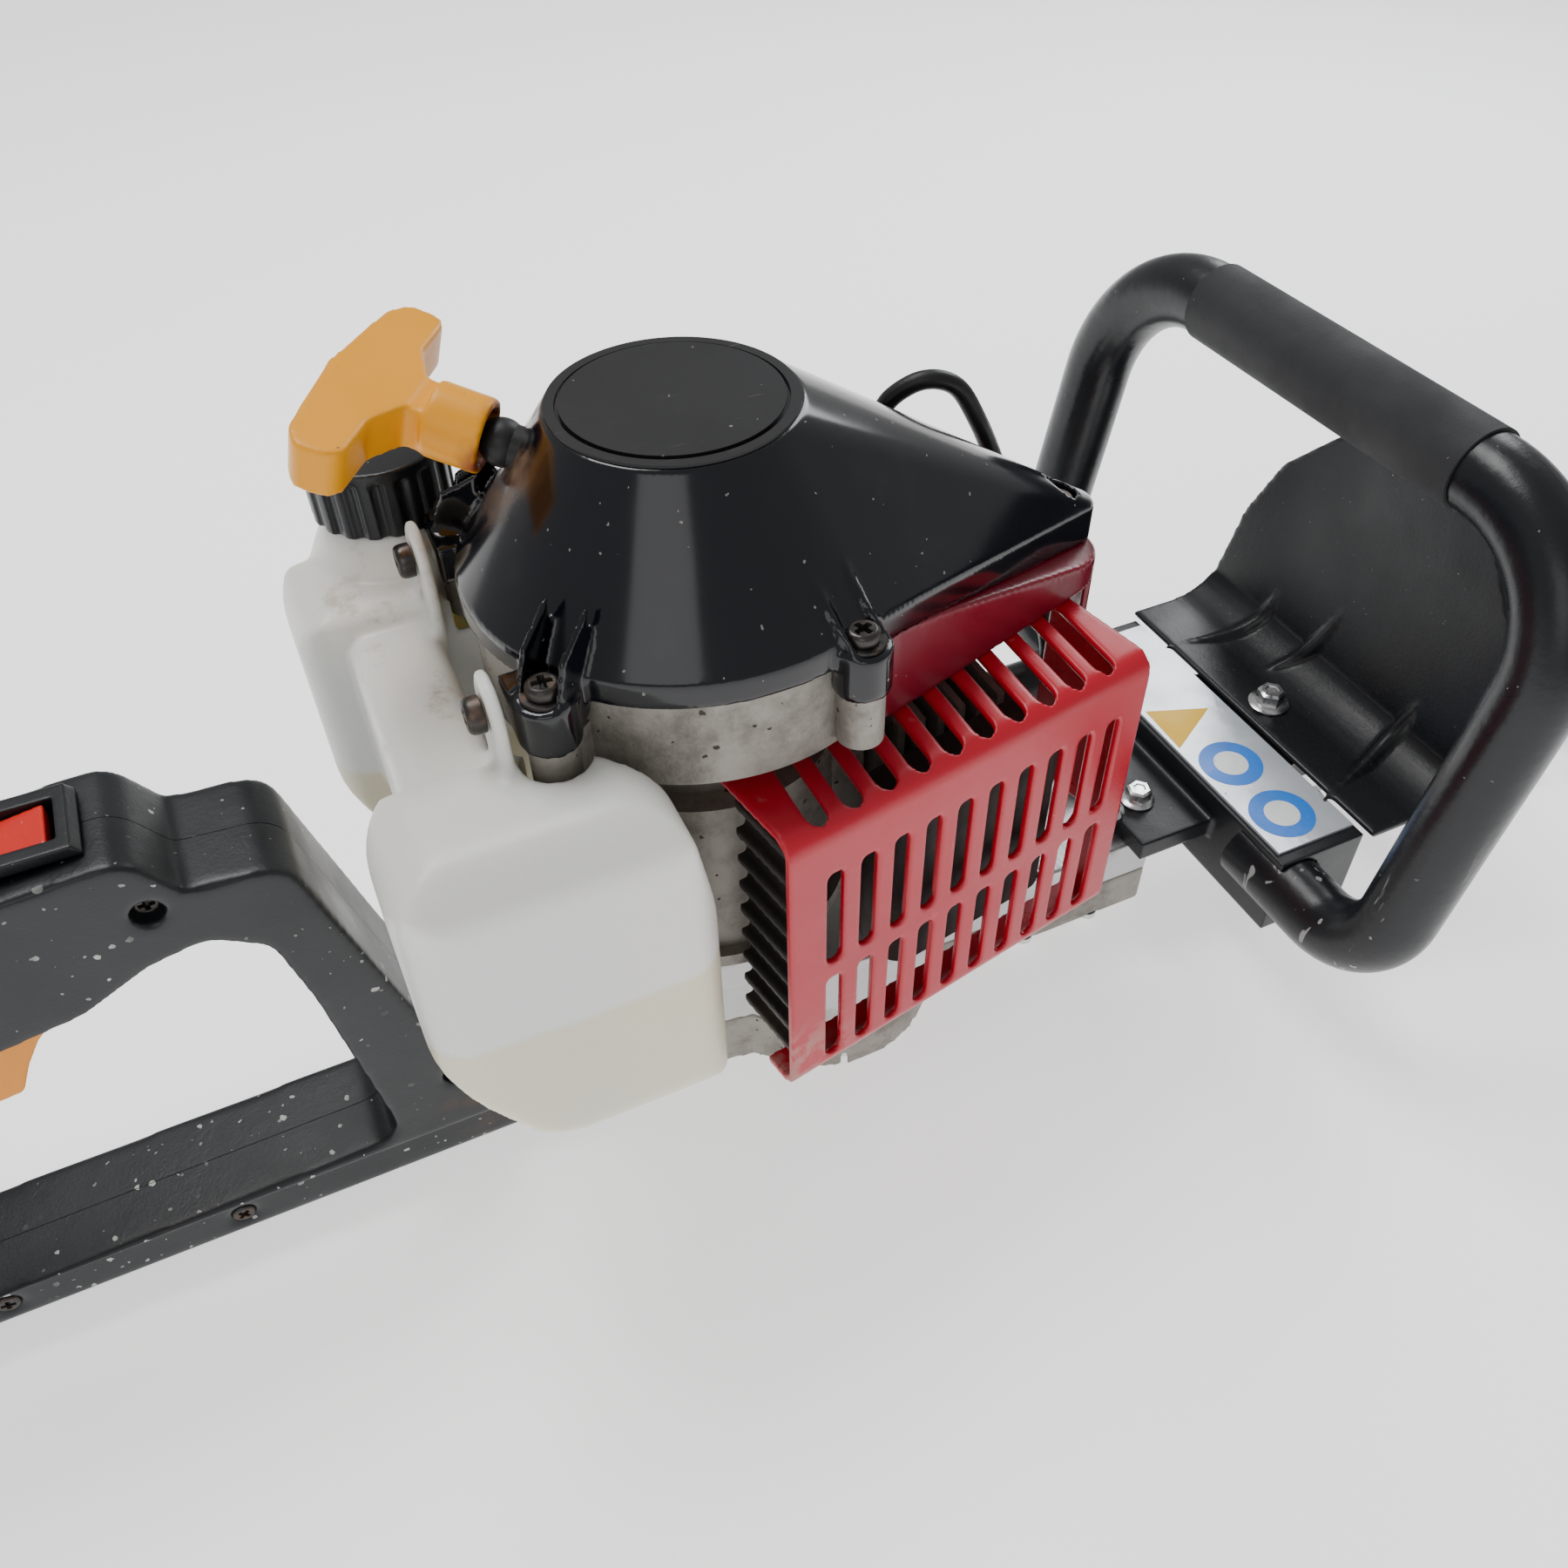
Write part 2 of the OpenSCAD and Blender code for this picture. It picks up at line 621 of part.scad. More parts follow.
// Muffler side
guard_yaw = 10.5;
guard_len = 132;
guard_corner = [-6, -80];
guard_low_z = 59;
guard_top_z = 170;
guard_wall = 2.6;
module at_guard() { translate([guard_corner[0], guard_corner[1], 0]) rotate(guard_yaw) children(); }
module muffler() {
    color([0.3, 0.29, 0.28]) placed() at_guard() {
        translate([44, 7, 80]) linear_extrude(66) rounded(8) square([66, 23]);
    }
}
module guard_profile(inset) {
    translate([inset, guard_low_z + inset])
        rounded(7 - inset) square([70, guard_top_z - guard_low_z - 2 * inset]);
}
module muffler_guard() {
    slot_x = [for (i = [0 : 9]) 15.5 + 11.6 * i];
    color([0.75, 0.05, 0.14]) placed() at_guard() difference() {
        slab_yz(0, guard_len) guard_profile(0);
        slab_yz(-1, guard_len - guard_wall) guard_profile(guard_wall);
        translate([-10, 41, 0]) cube([200, 60, 200]);
        translate([-10, 14, guard_low_z - 1]) cube([200, 60, 40]);
        for (x = slot_x) translate([x, 20, guard_top_z - 5]) rotate(90 - guard_yaw)
            linear_extrude(10) slot2d(34, 6.2);
        for (x = slot_x, z = [86, 131.5]) slab_xz(-5, 5) translate([x, z]) rotate(90)
            slot2d(39, 5.6);
    }
}
module heat_shield() {
    color([0.04, 0.04, 0.045]) placed() at_guard() {
        translate([7, 4, 66]) cube([3, 28, 98]);
        for (i = [0 : 8]) translate([3, 5, 70 + 11 * i]) cube([5, 26, 3]);
    }
}

// Intake side
module carburettor() {
    color([0.65, 0.65, 0.66]) placed() difference() {
        translate([2, 44, 98]) cube([42, 26, 40]);
        along_y(24, 40, cyl_z + 2) cylinder(r = 7, h = 40);
        translate([34, 58, 90]) cylinder(r = 7.6, h = 13);
    }
}
module primer_bulb() {
    color([0.75, 0.3, 0.2]) placed() translate([34, 58, 98]) difference() {
        translate([0, 0, -1.5]) sphere(r = 7);
        translate([-10, -10, -0.4]) cube([20, 20, 20]);
    }
}
module air_filter_housing() {
    color([0.05, 0.05, 0.055]) placed() difference() {
        translate([0, 0, 84]) linear_extrude(70) rounded(9) translate([-14, 72]) square([78, 38]);
        translate([-11, 71, 87]) cube([72, 36, 64]);
        for (i = [0 : 5]) translate([2 + 9 * i, 100, 104]) cube([4, 20, 34]);
        along_x(-20, 90, 120) cylinder(r = 3.1, h = 10);
    }
}
module choke_lever() {
    color([0.85, 0.82, 0.75]) placed() {
        along_x(-21, 90, 120) cylinder(r = 3, h = 14);
        translate([-21, 86, 120]) cube([3, 8, 26]);
    }
}

// Clutch and gears
module clutch_shoes() {
    color([0.4, 0.4, 0.42]) placed() translate([0, 0, 68]) for (a = [0, 180]) rotate(a)
        difference() {
            intersection() {
                cylinder(r = 25.5, h = 10);
                translate([2, -30, -1]) cube([30, 60, 12]);
            }
            translate([0, 0, -1]) cylinder(r = 6.0, h = 12);
        }
}
module clutch_drum() {
    color([0.5, 0.5, 0.52]) placed() difference() {
        translate([0, 0, 63]) cylinder(r = 29, h = 17);
        translate([0, 0, 65.5]) cylinder(r = 26.5, h = 20);
        translate([0, 0, 60]) cylinder(r = 4, h = 10);
    }
}
module gear_outline(teeth, backlash) {
    pitch_r = gear_module * teeth / 2;
    root_r = pitch_r - 1.3 * gear_module;
    tip_r = pitch_r + 0.85 * gear_module;
    step = 360 / teeth;
    polygon([for (i = [0 : teeth - 1], k = [0 : 3])
        let (half = [0.36, 0.13, 0.13, 0.36][k] * step * (1 - backlash))
        let (a = i * step + (k < 2 ? -half : half), r = (k == 0 || k == 3) ? root_r : tip_r)
        [r * cos(a), r * sin(a)]]);
}
module drive_pinion() {
    color([0.6, 0.6, 0.62]) placed() {
        translate([0, 0, gear_z - 2]) rotate(18) linear_extrude(gear_t + 4)
            gear_outline(pinion_teeth, 0.1);
        translate([0, 0, gear_z + gear_t + 2]) cylinder(r = 5.5, h = 63 - gear_z - gear_t - 2);
        translate([0, 0, 62]) cylinder(r = 3.95, h = 3.5);
        translate([0, 0, 27.3]) cylinder(r = 3.5, h = 5);
    }
}
strap_r = 15;
eccentric = stroke / 2;
module crank_gear() {
    color([0.6, 0.6, 0.62]) placed() translate([gear_x, 0, 0]) difference() {
        union() {
            translate([0, 0, gear_z]) linear_extrude(gear_t) gear_outline(gear_teeth, 0.1);
            translate([0, 0, 22]) cylinder(r = 9, h = gear_z - 22);
            translate([eccentric, 0, 16]) cylinder(r = strap_r, h = 4);
            translate([-eccentric, 0, 11]) cylinder(r = strap_r, h = 4);
            translate([0, 0, 10]) cylinder(r = 6.8, h = 14);
        }
        translate([0, 0, 5]) cylinder(r = 5.05, h = 50);
    }
}
module gear_spindle() {
    color([0.7, 0.7, 0.7]) placed() translate([gear_x, 0, 3]) cylinder(r = 5, h = 52);
}
module case_plan(inset) {
    difference() {
        union() {
            translate([gear_x, 0]) circle(44 - inset);
            hull() {
                circle(24 - inset);
                translate([gear_x, 0]) circle(30 - inset);
            }
        }
        translate([gear_x + 60, -60]) square([40, 120]);
    }
}
case_front_x = 172;
module gear_case_upper() {
    color([0.6, 0.6, 0.58]) placed() difference() {
        union() {
            translate([0, 0, case_split_z]) linear_extrude(case_top_z - case_split_z - 2)
                case_plan(0);
            translate([gear_x + 30, -26, case_split_z]) cube([case_front_x - gear_x - 30, 52, 18]);
            translate([0, 0, case_split_z + 30]) cylinder(r = 34, h = crankcase_z - 54);
        }
        translate([gear_x, 0, case_split_z - 1]) cylinder(r = 36, h = 28);
        translate([0, 0, case_split_z + 2]) cylinder(r = 12, h = 34);
        translate([-12, -12, case_split_z + 2]) cube([30, 24, 24]);
        translate([0, 0, 61]) cylinder(r = 30.5, h = 40);
        translate([0, 0, 50]) cylinder(r = 7, h = 20);
        translate([gear_x, 0, 20]) cylinder(r = 5, h = 35.5);
        translate([gear_x + 42, -19, case_split_z - 1]) cube([100, 38, 14]);
        case_screw_spots() translate([0, 0, 0]) cylinder(r = 2.05, h = 50);
        bolt_spots() cylinder(r = 3.05, h = 60);
    }
}
module case_screw_spots() {
    for (a = [60, -60, 100, -100, 140, -140]) translate([gear_x, 0, 0]) rotate(a)
        translate([39.8, 0, 0]) children();
    for (x = [120, 150], y = [-22.5, 22.5]) translate([x, y, 0]) children();
}
module bolt_spots() { for (x = [179, 193], y = [-13, 13]) translate([x - 21, y, 0]) children(); }
module gear_case_lower() {
    color([0.5, 0.47, 0.43]) placed() difference() {
        union() {
            translate([0, 0, case_bottom_z]) linear_extrude(case_split_z) case_plan(0);
            translate([gear_x + 30, -26, 6]) cube([case_front_x - gear_x - 30, 52, case_split_z - 6]);
        }
        translate([gear_x, 0, 5]) cylinder(r = 34, h = 30);
        translate([gear_x, -20, 10.2]) cube([200, 40, 12]);
        translate([gear_x + 42, -19, 10.2]) cube([200, 38, 20]);
        translate([gear_x, 0, 3]) cylinder(r = 5, h = 30);
        case_screw_spots() translate([0, 0, 3.4]) cylinder(r = 2.05, h = 30);
        case_screw_spots() translate([0, 0, -1]) cylinder(r = 3.9, h = 8);
    }
}
module gear_case_screws() {
    color([0.6, 0.6, 0.6]) placed() case_screw_spots() {
        translate([0, 0, 4.4]) cylinder(r = 3.7, h = 2.5);
        translate([0, 0, 6]) cylinder(r = 2, h = 30);
    }
}

// Cutting blades
bolt_x = [for (i = [0 : 4]) first_tooth_x + 20 + 124 * i];
bar_half_w = 15;
module tooth() {
    polygon([
        [-9, 0], [9, 0], [5.5, blade_w / 2 - bar_half_w + 3], [-5.5, blade_w / 2 - bar_half_w + 3]
    ]);
}
module blade_outline(first_x) {
    tail_len = first_tooth_x - 40;
    union() {
        translate([tail_len - 100, -bar_half_w + 1]) square([tip_x - 34 - tail_len + 100, 28]);
        for (i = [0 : tooth_count - 1]) translate([first_x + tooth_pitch * i, 0]) {
            translate([0, bar_half_w - 3]) tooth();
            translate([0, 3 - bar_half_w]) rotate(180) tooth();
        }
    }
}
module blade(first_x) {
    linear_extrude(blade_t) difference() {
        blade_outline(first_x);
        for (x = bolt_x) translate([x, 0]) slot2d(stroke + 8.4, 8);
    }
}
module upper_blade() {
    color([0.6, 0.6, 0.62]) placed() translate([0, 0, upper_blade_z]) blade(first_tooth_x);
}
module lower_blade() {
    color([0.55, 0.55, 0.57]) placed() translate([0, 0, lower_blade_z]) blade(first_tooth_x);
}
module blade_support_bar() {
    color([0.5, 0.5, 0.52]) placed() translate([0, 0, support_z]) linear_extrude(5) difference() {
        translate([gear_x + 44, -18]) square([tip_x - 6 - gear_x - 44, 36]);
        for (x = bolt_x) translate([x, 0]) circle(3.05);
        translate([tip_x - 16, 0]) circle(2.6);
    }
}
module blade_bolts() {
    color([0.75, 0.75, 0.76]) placed() {
        for (x = bolt_x) translate([x, 0, 0]) {
            translate([0, 0, 9.4]) cylinder(r = 6, h = 2.8);
            translate([0, 0, 12]) cylinder(r = 3, h = 14);
            translate([0, 0, support_z + 5]) cylinder(r = 5, h = 4, $fn = 6);
        }
        translate([tip_x - 16, 0, support_z - 2]) cylinder(r = 2.5, h = 8);
        translate([tip_x - 16, 0, support_z + 5]) cylinder(r = 4.5, h = 3);
    }
}
module tip_guard() {
    color([0.05, 0.05, 0.05]) placed() difference() {
        translate([0, 0, 9]) linear_extrude(support_z - 9) rounded(4) polygon([
            [tip_x - 25, -18], [tip_x - 25, 18], [tip_x - 12, 44], [tip_x, 36], [tip_x, -36],
            [tip_x - 12, -44]
        ]);
        translate([tip_x - 16, 0, support_z - 2.5]) cylinder(r = 2.6, h = 8);
    }
}

// Front handle
loop_x = 199;
loop_socket_z = 46;
loop_top = 210;
loop_corner_r = 48;
module loop_frame() { translate([loop_x, 0, loop_socket_z]) rotate([0, loop_tilt, 0]) children(); }
foot_r = 26;
module arc(r, y, z, from, sweep) {
    translate([0, y, z]) rotate([90, 0, 90]) rotate(from)
        rotate_extrude(angle = sweep) translate([r, 0]) circle(loop_tube_r);
}
module half_loop() {
    top = loop_top - loop_socket_z;
    along_y(0, 48, 0) cylinder(r = loop_tube_r, h = loop_half_w - foot_r - 48);
    arc(foot_r, loop_half_w - foot_r, foot_r, -90, 90);
    translate([0, loop_half_w, foot_r]) cylinder(r = loop_tube_r, h = top - loop_corner_r - foot_r);
    arc(loop_corner_r, loop_half_w - loop_corner_r, top - loop_corner_r, 0, 90);
    along_y(0, 0, top) cylinder(r = loop_tube_r, h = loop_half_w - loop_corner_r);
}
module front_handle_tube() {
    color([0.08, 0.08, 0.085]) placed() loop_frame() both_sides() half_loop();
}
module front_handle_grip() {
    top = loop_top - loop_socket_z;
    color([0.14, 0.14, 0.14]) placed() loop_frame() along_y(0, -62, top)
        ring(loop_tube_r + 1, loop_tube_r, 124);
}
block_x = 192;
block_len = 37;
block_half_w = 71;
block_top_z = 60;
module front_handle_bracket() {
    color([0.05, 0.05, 0.055]) placed() difference() {
        union() {
            translate([block_x, -block_half_w, 24.2])
                cube([block_len, 2 * block_half_w, block_top_z - 24.2]);
            translate([block_x - 32, -34, 42]) cube([36, 68, 8]);
            translate([block_x + 30, -30, 50]) cube([32, 60, 10]);
        }
        translate([block_x - 20, -19, 20]) cube([block_len + 60, 38, 6]);
        loop_frame() both_sides() along_y(0, 48, 0) cylinder(r = loop_tube_r, h = 60);
        translate([bolt_x[0], 0, 22]) cylinder(r = 6.5, h = 8);
        bolt_spots() translate([0, 0, 30]) cylinder(r = 3.05, h = 30);
        translate([block_x + 50, 0, 40]) cylinder(r = 3.05, h = 30);
    }
}
module bracket_bolts() {
    color([0.75, 0.75, 0.75]) placed() {
        bolt_spots() {
            translate([0, 0, 34]) cylinder(r = 3, h = 17);
            translate([0, 0, 50]) cylinder(r = 6.5, h = 2);
            translate([0, 0, 51]) cylinder(r = 5.2, h = 5.5, $fn = 6);
        }
        translate([block_x + 50, 0, 46]) cylinder(r = 3, h = 20);
        translate([block_x + 50, 0, 62.9]) cylinder(r = 8, h = 2);
        translate([block_x + 50, 0, 64]) cylinder(r = 5.6, h = 6, $fn = 6);
    }
}
module guard_sheet() {
    bend = [for (i = [0 : 6]) let (a = 9 * i)
        [block_x + 58 + 26 * sin(a), 60 + 26 * (1 - cos(a))]];
    top = [[block_x + 91, 154]];
    offset(1.3) polygon(concat(
        [[block_x + 39, 61.6]], [for (p = bend) p + [0, 1.6]], top, [top[0] + [0.2, 0]],
        [for (i = [6 : -1 : 0]) bend[i] + [0.2, 1.5]], [[block_x + 39, 61.5]]
    ));
}
module hand_guard() {
    color([0.04, 0.04, 0.045]) placed() difference() {
        intersection() {
            slab_xz(-90, 90) guard_sheet();
            slab_yz(block_x, block_x + 120) rounded(14) polygon([
                [-74, 40], [74, 40], [74, 70], [70, 104], [60, 130], [36, 156], [-36, 156],
                [-60, 130], [-70, 104], [-74, 70]
            ]);
        }
        translate([block_x + 50, 0, 50]) cylinder(r = 3.05, h = 30);
    }
}
module label_plate() {
    color([0.9, 0.92, 0.93]) placed() translate([block_x + 2, -66, block_top_z])
        cube([34, 132, 1.2]);
}

rear_handle_right_shell();
rear_handle_left_shell();
handle_screws();
switch_bezel();
stop_switch_rocker();
throttle_trigger();
trigger_pivot_pin();
throttle_lockout();
throttle_cable();
fuel_tank();
tank_cap();
tank_screws();
fuel_line();
starter_housing();
starter_badge();
starter_screws();
rope_grommet();
starter_t_handle();
starter_rope();
starter_pulley();
recoil_spring();
fan_housing();
flywheel();
ignition_coil();
ignition_lead();
spark_plug_boot();
spark_plug();
crankcase();
crankshaft();
shaft_bearings();
connecting_rod();
piston();
finned_cylinder();
engine_cowl();
muffler();
muffler_guard();
heat_shield();
carburettor();
primer_bulb();
air_filter_housing();
choke_lever();
clutch_shoes();
clutch_drum();
drive_pinion();
crank_gear();
gear_spindle();
gear_case_upper();
gear_case_lower();
gear_case_screws();
blade_support_bar();
upper_blade();
lower_blade();
blade_bolts();
tip_guard();
front_handle_tube();
front_handle_grip();
front_handle_bracket();
bracket_bolts();
hand_guard();
label_plate();
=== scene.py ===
"""Looks of the petrol hedge trimmer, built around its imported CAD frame."""

import json
import math

import bmesh
import bpy
import numpy as np
from mathutils import Matrix, Vector


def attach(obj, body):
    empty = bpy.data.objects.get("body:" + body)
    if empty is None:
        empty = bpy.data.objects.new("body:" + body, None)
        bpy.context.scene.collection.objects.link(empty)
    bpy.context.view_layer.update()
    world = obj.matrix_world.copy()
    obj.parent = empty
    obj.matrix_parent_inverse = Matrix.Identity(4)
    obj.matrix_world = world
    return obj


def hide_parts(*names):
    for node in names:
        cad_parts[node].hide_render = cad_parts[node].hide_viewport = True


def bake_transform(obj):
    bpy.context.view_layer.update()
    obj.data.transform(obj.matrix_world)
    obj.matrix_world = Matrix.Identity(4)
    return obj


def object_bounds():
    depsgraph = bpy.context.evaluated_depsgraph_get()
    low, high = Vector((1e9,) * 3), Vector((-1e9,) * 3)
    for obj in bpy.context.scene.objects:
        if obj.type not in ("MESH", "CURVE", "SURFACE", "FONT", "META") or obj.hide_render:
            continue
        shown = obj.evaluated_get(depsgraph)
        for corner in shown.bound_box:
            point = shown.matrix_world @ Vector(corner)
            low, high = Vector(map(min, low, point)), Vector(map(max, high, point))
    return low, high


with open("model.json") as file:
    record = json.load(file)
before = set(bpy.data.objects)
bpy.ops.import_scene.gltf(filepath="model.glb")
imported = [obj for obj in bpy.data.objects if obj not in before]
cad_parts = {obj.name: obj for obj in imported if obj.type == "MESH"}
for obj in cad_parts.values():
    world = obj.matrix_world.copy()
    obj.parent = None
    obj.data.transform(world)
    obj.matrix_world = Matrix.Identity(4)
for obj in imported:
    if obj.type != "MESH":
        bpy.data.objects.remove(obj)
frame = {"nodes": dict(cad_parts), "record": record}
cad_low, cad_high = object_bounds()
NODES = frame["nodes"]
AXIS_X = -0.239  # the crankshaft axis, in the row frame
MM = 0.001


def at(x, y, z):
    """A point given in millimetres about the crankshaft axis."""
    return Vector((AXIS_X + x * MM, y * MM, z * MM))


# ---------------------------------------------------------------- camera, light, floor
camera = bpy.data.objects.new("camera", bpy.data.cameras.new("camera"))
bpy.context.scene.collection.objects.link(camera)
camera.matrix_world = Matrix((
    (0.9081, 0.3024, -0.2895, -0.3408),
    (-0.4184, 0.6317, -0.6526, -0.2934),
    (-0.0145, 0.7138, 0.7002, 0.4228),
    (0, 0, 0, 1),
))
camera.data.lens = 31.0
camera.data.sensor_width = 36.0
camera.data.clip_start = 0.01
bpy.context.scene.camera = camera

world = bpy.data.worlds.new("world")
bpy.context.scene.world = world
world.use_nodes = True
world.node_tree.nodes["Background"].inputs[0].default_value = (1.0, 1.0, 1.0, 1)
world.node_tree.nodes["Background"].inputs[1].default_value = 0.42


def area_light(name, position, target, size, power, colour=(1, 1, 1)):
    light = bpy.data.lights.new(name, "AREA")
    light.shape = "RECTANGLE"
    light.size, light.size_y = size
    light.energy = power
    light.color = colour
    o = bpy.data.objects.new(name, light)
    bpy.context.scene.collection.objects.link(o)
    o.location = position
    o.rotation_euler = (Vector(target) - Vector(position)).to_track_quat("-Z", "Y").to_euler()


TARGET = (-0.18, 0, 0.12)
area_light("key", (-0.45, 0.55, 1.5), TARGET, (0.8, 0.6), 15)
area_light("window", (0.8, 0.7, 0.85), TARGET, (0.5, 0.7), 7, (0.95, 0.98, 1))
area_light("fill", (-0.9, -1.0, 0.9), TARGET, (0.8, 0.8), 3)


# ---------------------------------------------------------------- materials
class Mat:
    """A node material made in layers: colour, roughness and height, all in object space."""

    def __init__(self, name, colour, rough, metal=0.0, coat=0.0, specular=0.5):
        self.m = bpy.data.materials.new(name)
        self.m.use_nodes = True
        self.t = self.m.node_tree
        self.n = self.t.nodes
        self.l = self.t.links
        self.b = self.n["Principled BSDF"]
        self.b.inputs["Metallic"].default_value = metal
        self.b.inputs["Coat Weight"].default_value = coat
        self.b.inputs["Coat Roughness"].default_value = 0.12
        self.b.inputs["Specular IOR Level"].default_value = specular
        self.coord = self.n.new("ShaderNodeTexCoord").outputs["Object"]
        self.colour = self.rgb(colour)
        self.rough = self.value(rough)
        self.height = None

    def rgb(self, c):
        node = self.n.new("ShaderNodeRGB")
        node.outputs[0].default_value = (*c, 1)
        return node.outputs[0]

    def value(self, v):
        node = self.n.new("ShaderNodeValue")
        node.outputs[0].default_value = v
        return node.outputs[0]

    def noise(self, scale, detail=3.0, stretch=(1, 1, 1), roughness=0.55, distortion=0.0):
        mapping = self.n.new("ShaderNodeMapping")
        mapping.inputs["Scale"].default_value = stretch
        self.l.new(self.coord, mapping.inputs["Vector"])
        node = self.n.new("ShaderNodeTexNoise")
        node.inputs["Scale"].default_value = scale
        node.inputs["Detail"].default_value = detail
        node.inputs["Roughness"].default_value = roughness
        node.inputs["Distortion"].default_value = distortion
        self.l.new(mapping.outputs[0], node.inputs["Vector"])
        return node.outputs["Fac"]

    def ramp(self, source, low, high, a=0.0, b=1.0):
        node = self.n.new("ShaderNodeMapRange")
        node.interpolation_type = "SMOOTHSTEP"
        node.inputs["From Min"].default_value = low
        node.inputs["From Max"].default_value = high
        node.inputs["To Min"].default_value = a
        node.inputs["To Max"].default_value = b
        self.l.new(source, node.inputs["Value"])
        return node.outputs[0]

    def math(self, op, a, b):
        node = self.n.new("ShaderNodeMath")
        node.operation = op
        for i, v in enumerate((a, b)):
            if isinstance(v, (int, float)):
                node.inputs[i].default_value = v
            else:
                self.l.new(v, node.inputs[i])
        return node.outputs[0]

    def mix(self, mask, colour, rough=None):
        """Lays a colour, and perhaps a roughness, over what is there where mask is 1."""
        node = self.n.new("ShaderNodeMix")
        node.data_type = "RGBA"
        self.l.new(mask, node.inputs["Factor"])
        self.l.new(self.colour, node.inputs[6])
        node.inputs[7].default_value = (*colour, 1)
        self.colour = node.outputs[2]
        if rough is not None:
            r = self.n.new("ShaderNodeMix")
            self.l.new(mask, r.inputs["Factor"])
            self.l.new(self.rough, r.inputs[2])
            r.inputs[3].default_value = rough
            self.rough = r.outputs[0]
        return self

    def specks(self, scale, size, chance, colour, rough=None, where=None):
        """Small round spots of random size in the cells of a Voronoi pattern."""
        warp = self.n.new("ShaderNodeVectorMath")
        warp.operation = "ADD"
        soft = self.n.new("ShaderNodeTexNoise")
        soft.inputs["Scale"].default_value = scale * 2.3
        self.l.new(self.coord, soft.inputs["Vector"])
        shrink = self.n.new("ShaderNodeVectorMath")
        shrink.operation = "SCALE"
        shrink.inputs["Scale"].default_value = 0.5 / scale
        self.l.new(soft.outputs["Color"], shrink.inputs[0])
        self.l.new(self.coord, warp.inputs[0])
        self.l.new(shrink.outputs[0], warp.inputs[1])
        node = self.n.new("ShaderNodeTexVoronoi")
        node.inputs["Scale"].default_value = scale
        self.l.new(warp.outputs[0], node.inputs["Vector"])
        spread = self.n.new("ShaderNodeSeparateColor")
        self.l.new(node.outputs["Color"], spread.inputs[0])
        radius = self.ramp(spread.outputs[0], 1 - chance, 1.0, 0.0, size)
        inside = self.math("LESS_THAN", node.outputs["Distance"], radius)
        if where is not None:
            inside = self.math("MULTIPLY", inside, where)
        return self.mix(inside, colour, rough)

    def axis(self, name):
        node = self.n.new("ShaderNodeSeparateXYZ")
        self.l.new(self.coord, node.inputs[0])
        return node.outputs[name]

    def near(self, point, inner, outer):
        """1 within inner of a point, falling to 0 at outer."""
        node = self.n.new("ShaderNodeVectorMath")
        node.operation = "DISTANCE"
        self.l.new(self.coord, node.inputs[0])
        node.inputs[1].default_value = point
        return self.ramp(node.outputs["Value"], inner, outer, 1.0, 0.0)

    def vary_rough(self, scale, amount, stretch=(1, 1, 1)):
        wave = self.ramp(self.noise(scale, 4, stretch), 0.3, 0.7, -amount, amount)
        self.rough = self.math("ADD", self.rough, wave)
        return self

    def bump(self, scale, depth, stretch=(1, 1, 1), detail=3.0):
        h = self.math("MULTIPLY", self.noise(scale, detail, stretch), depth)
        self.height = h if self.height is None else self.math("ADD", self.height, h)
        return self

    def done(self):
        self.l.new(self.colour, self.b.inputs["Base Color"])
        self.l.new(self.rough, self.b.inputs["Roughness"])
        if self.height is not None:
            node = self.n.new("ShaderNodeBump")
            node.inputs["Strength"].default_value = 1.0
            node.inputs["Distance"].default_value = 1.0
            self.l.new(self.height, node.inputs["Height"])
            self.l.new(node.outputs[0], self.b.inputs["Normal"])
        return self.m


def black_plastic():
    m = Mat("black_plastic", (0.0065, 0.0075, 0.0095), 0.36, specular=0.4)
    m.vary_rough(22, 0.07).bump(900, 0.00006).bump(90, 0.00012)
    m.mix(m.ramp(m.noise(14, 5), 0.5, 0.75, 0, 0.25), (0.022, 0.023, 0.026), 0.5)
    m.specks(420, 0.12, 0.25, (0.17, 0.165, 0.155), 0.7)
    return m.done()


def spattered_plastic():
    m = Mat("spattered_plastic", (0.0075, 0.0095, 0.0115), 0.36, specular=0.4)
    m.vary_rough(25, 0.08).bump(1000, 0.00006).bump(110, 0.00012)
    m.mix(m.ramp(m.noise(16, 5), 0.5, 0.75, 0, 0.3), (0.02, 0.023, 0.026), 0.5)
    patch = m.ramp(m.noise(26, 2), 0.42, 0.6)
    m.specks(230, 0.26, 0.3, (0.5, 0.5, 0.47), 0.75, patch)
    m.specks(430, 0.22, 0.2, (0.3, 0.3, 0.28), 0.75, patch)
    m.specks(120, 0.13, 0.2, (0.6, 0.6, 0.58), 0.75, patch)
    rust = m.near(at(-76, -16, 24), 0.012, 0.04)
    m.mix(m.math("MULTIPLY", rust, m.ramp(m.noise(70, 5), 0.45, 0.7)), (0.1, 0.055, 0.03), 0.7)
    return m.done()


def gloss_black():
    m = Mat("gloss_black", (0.003, 0.0035, 0.006), 0.14, coat=0.2, specular=0.4)
    m.vary_rough(9, 0.04)
    m.bump(26, 0.0003, detail=1.5)
    m.mix(m.ramp(m.noise(30, 6), 0.52, 0.8, 0, 0.2), (0.045, 0.045, 0.05), 0.35)
    m.specks(330, 0.13, 0.3, (0.2, 0.19, 0.17), 0.7)
    m.specks(120, 0.045, 0.18, (0.4, 0.38, 0.33), 0.7)
    dust = m.near(at(-38, 15, 240), 0.010, 0.024)
    m.mix(m.math("MULTIPLY", dust, m.ramp(m.noise(110, 5), 0.35, 0.7)), (0.12, 0.07, 0.04), 0.7)
    return m.done()


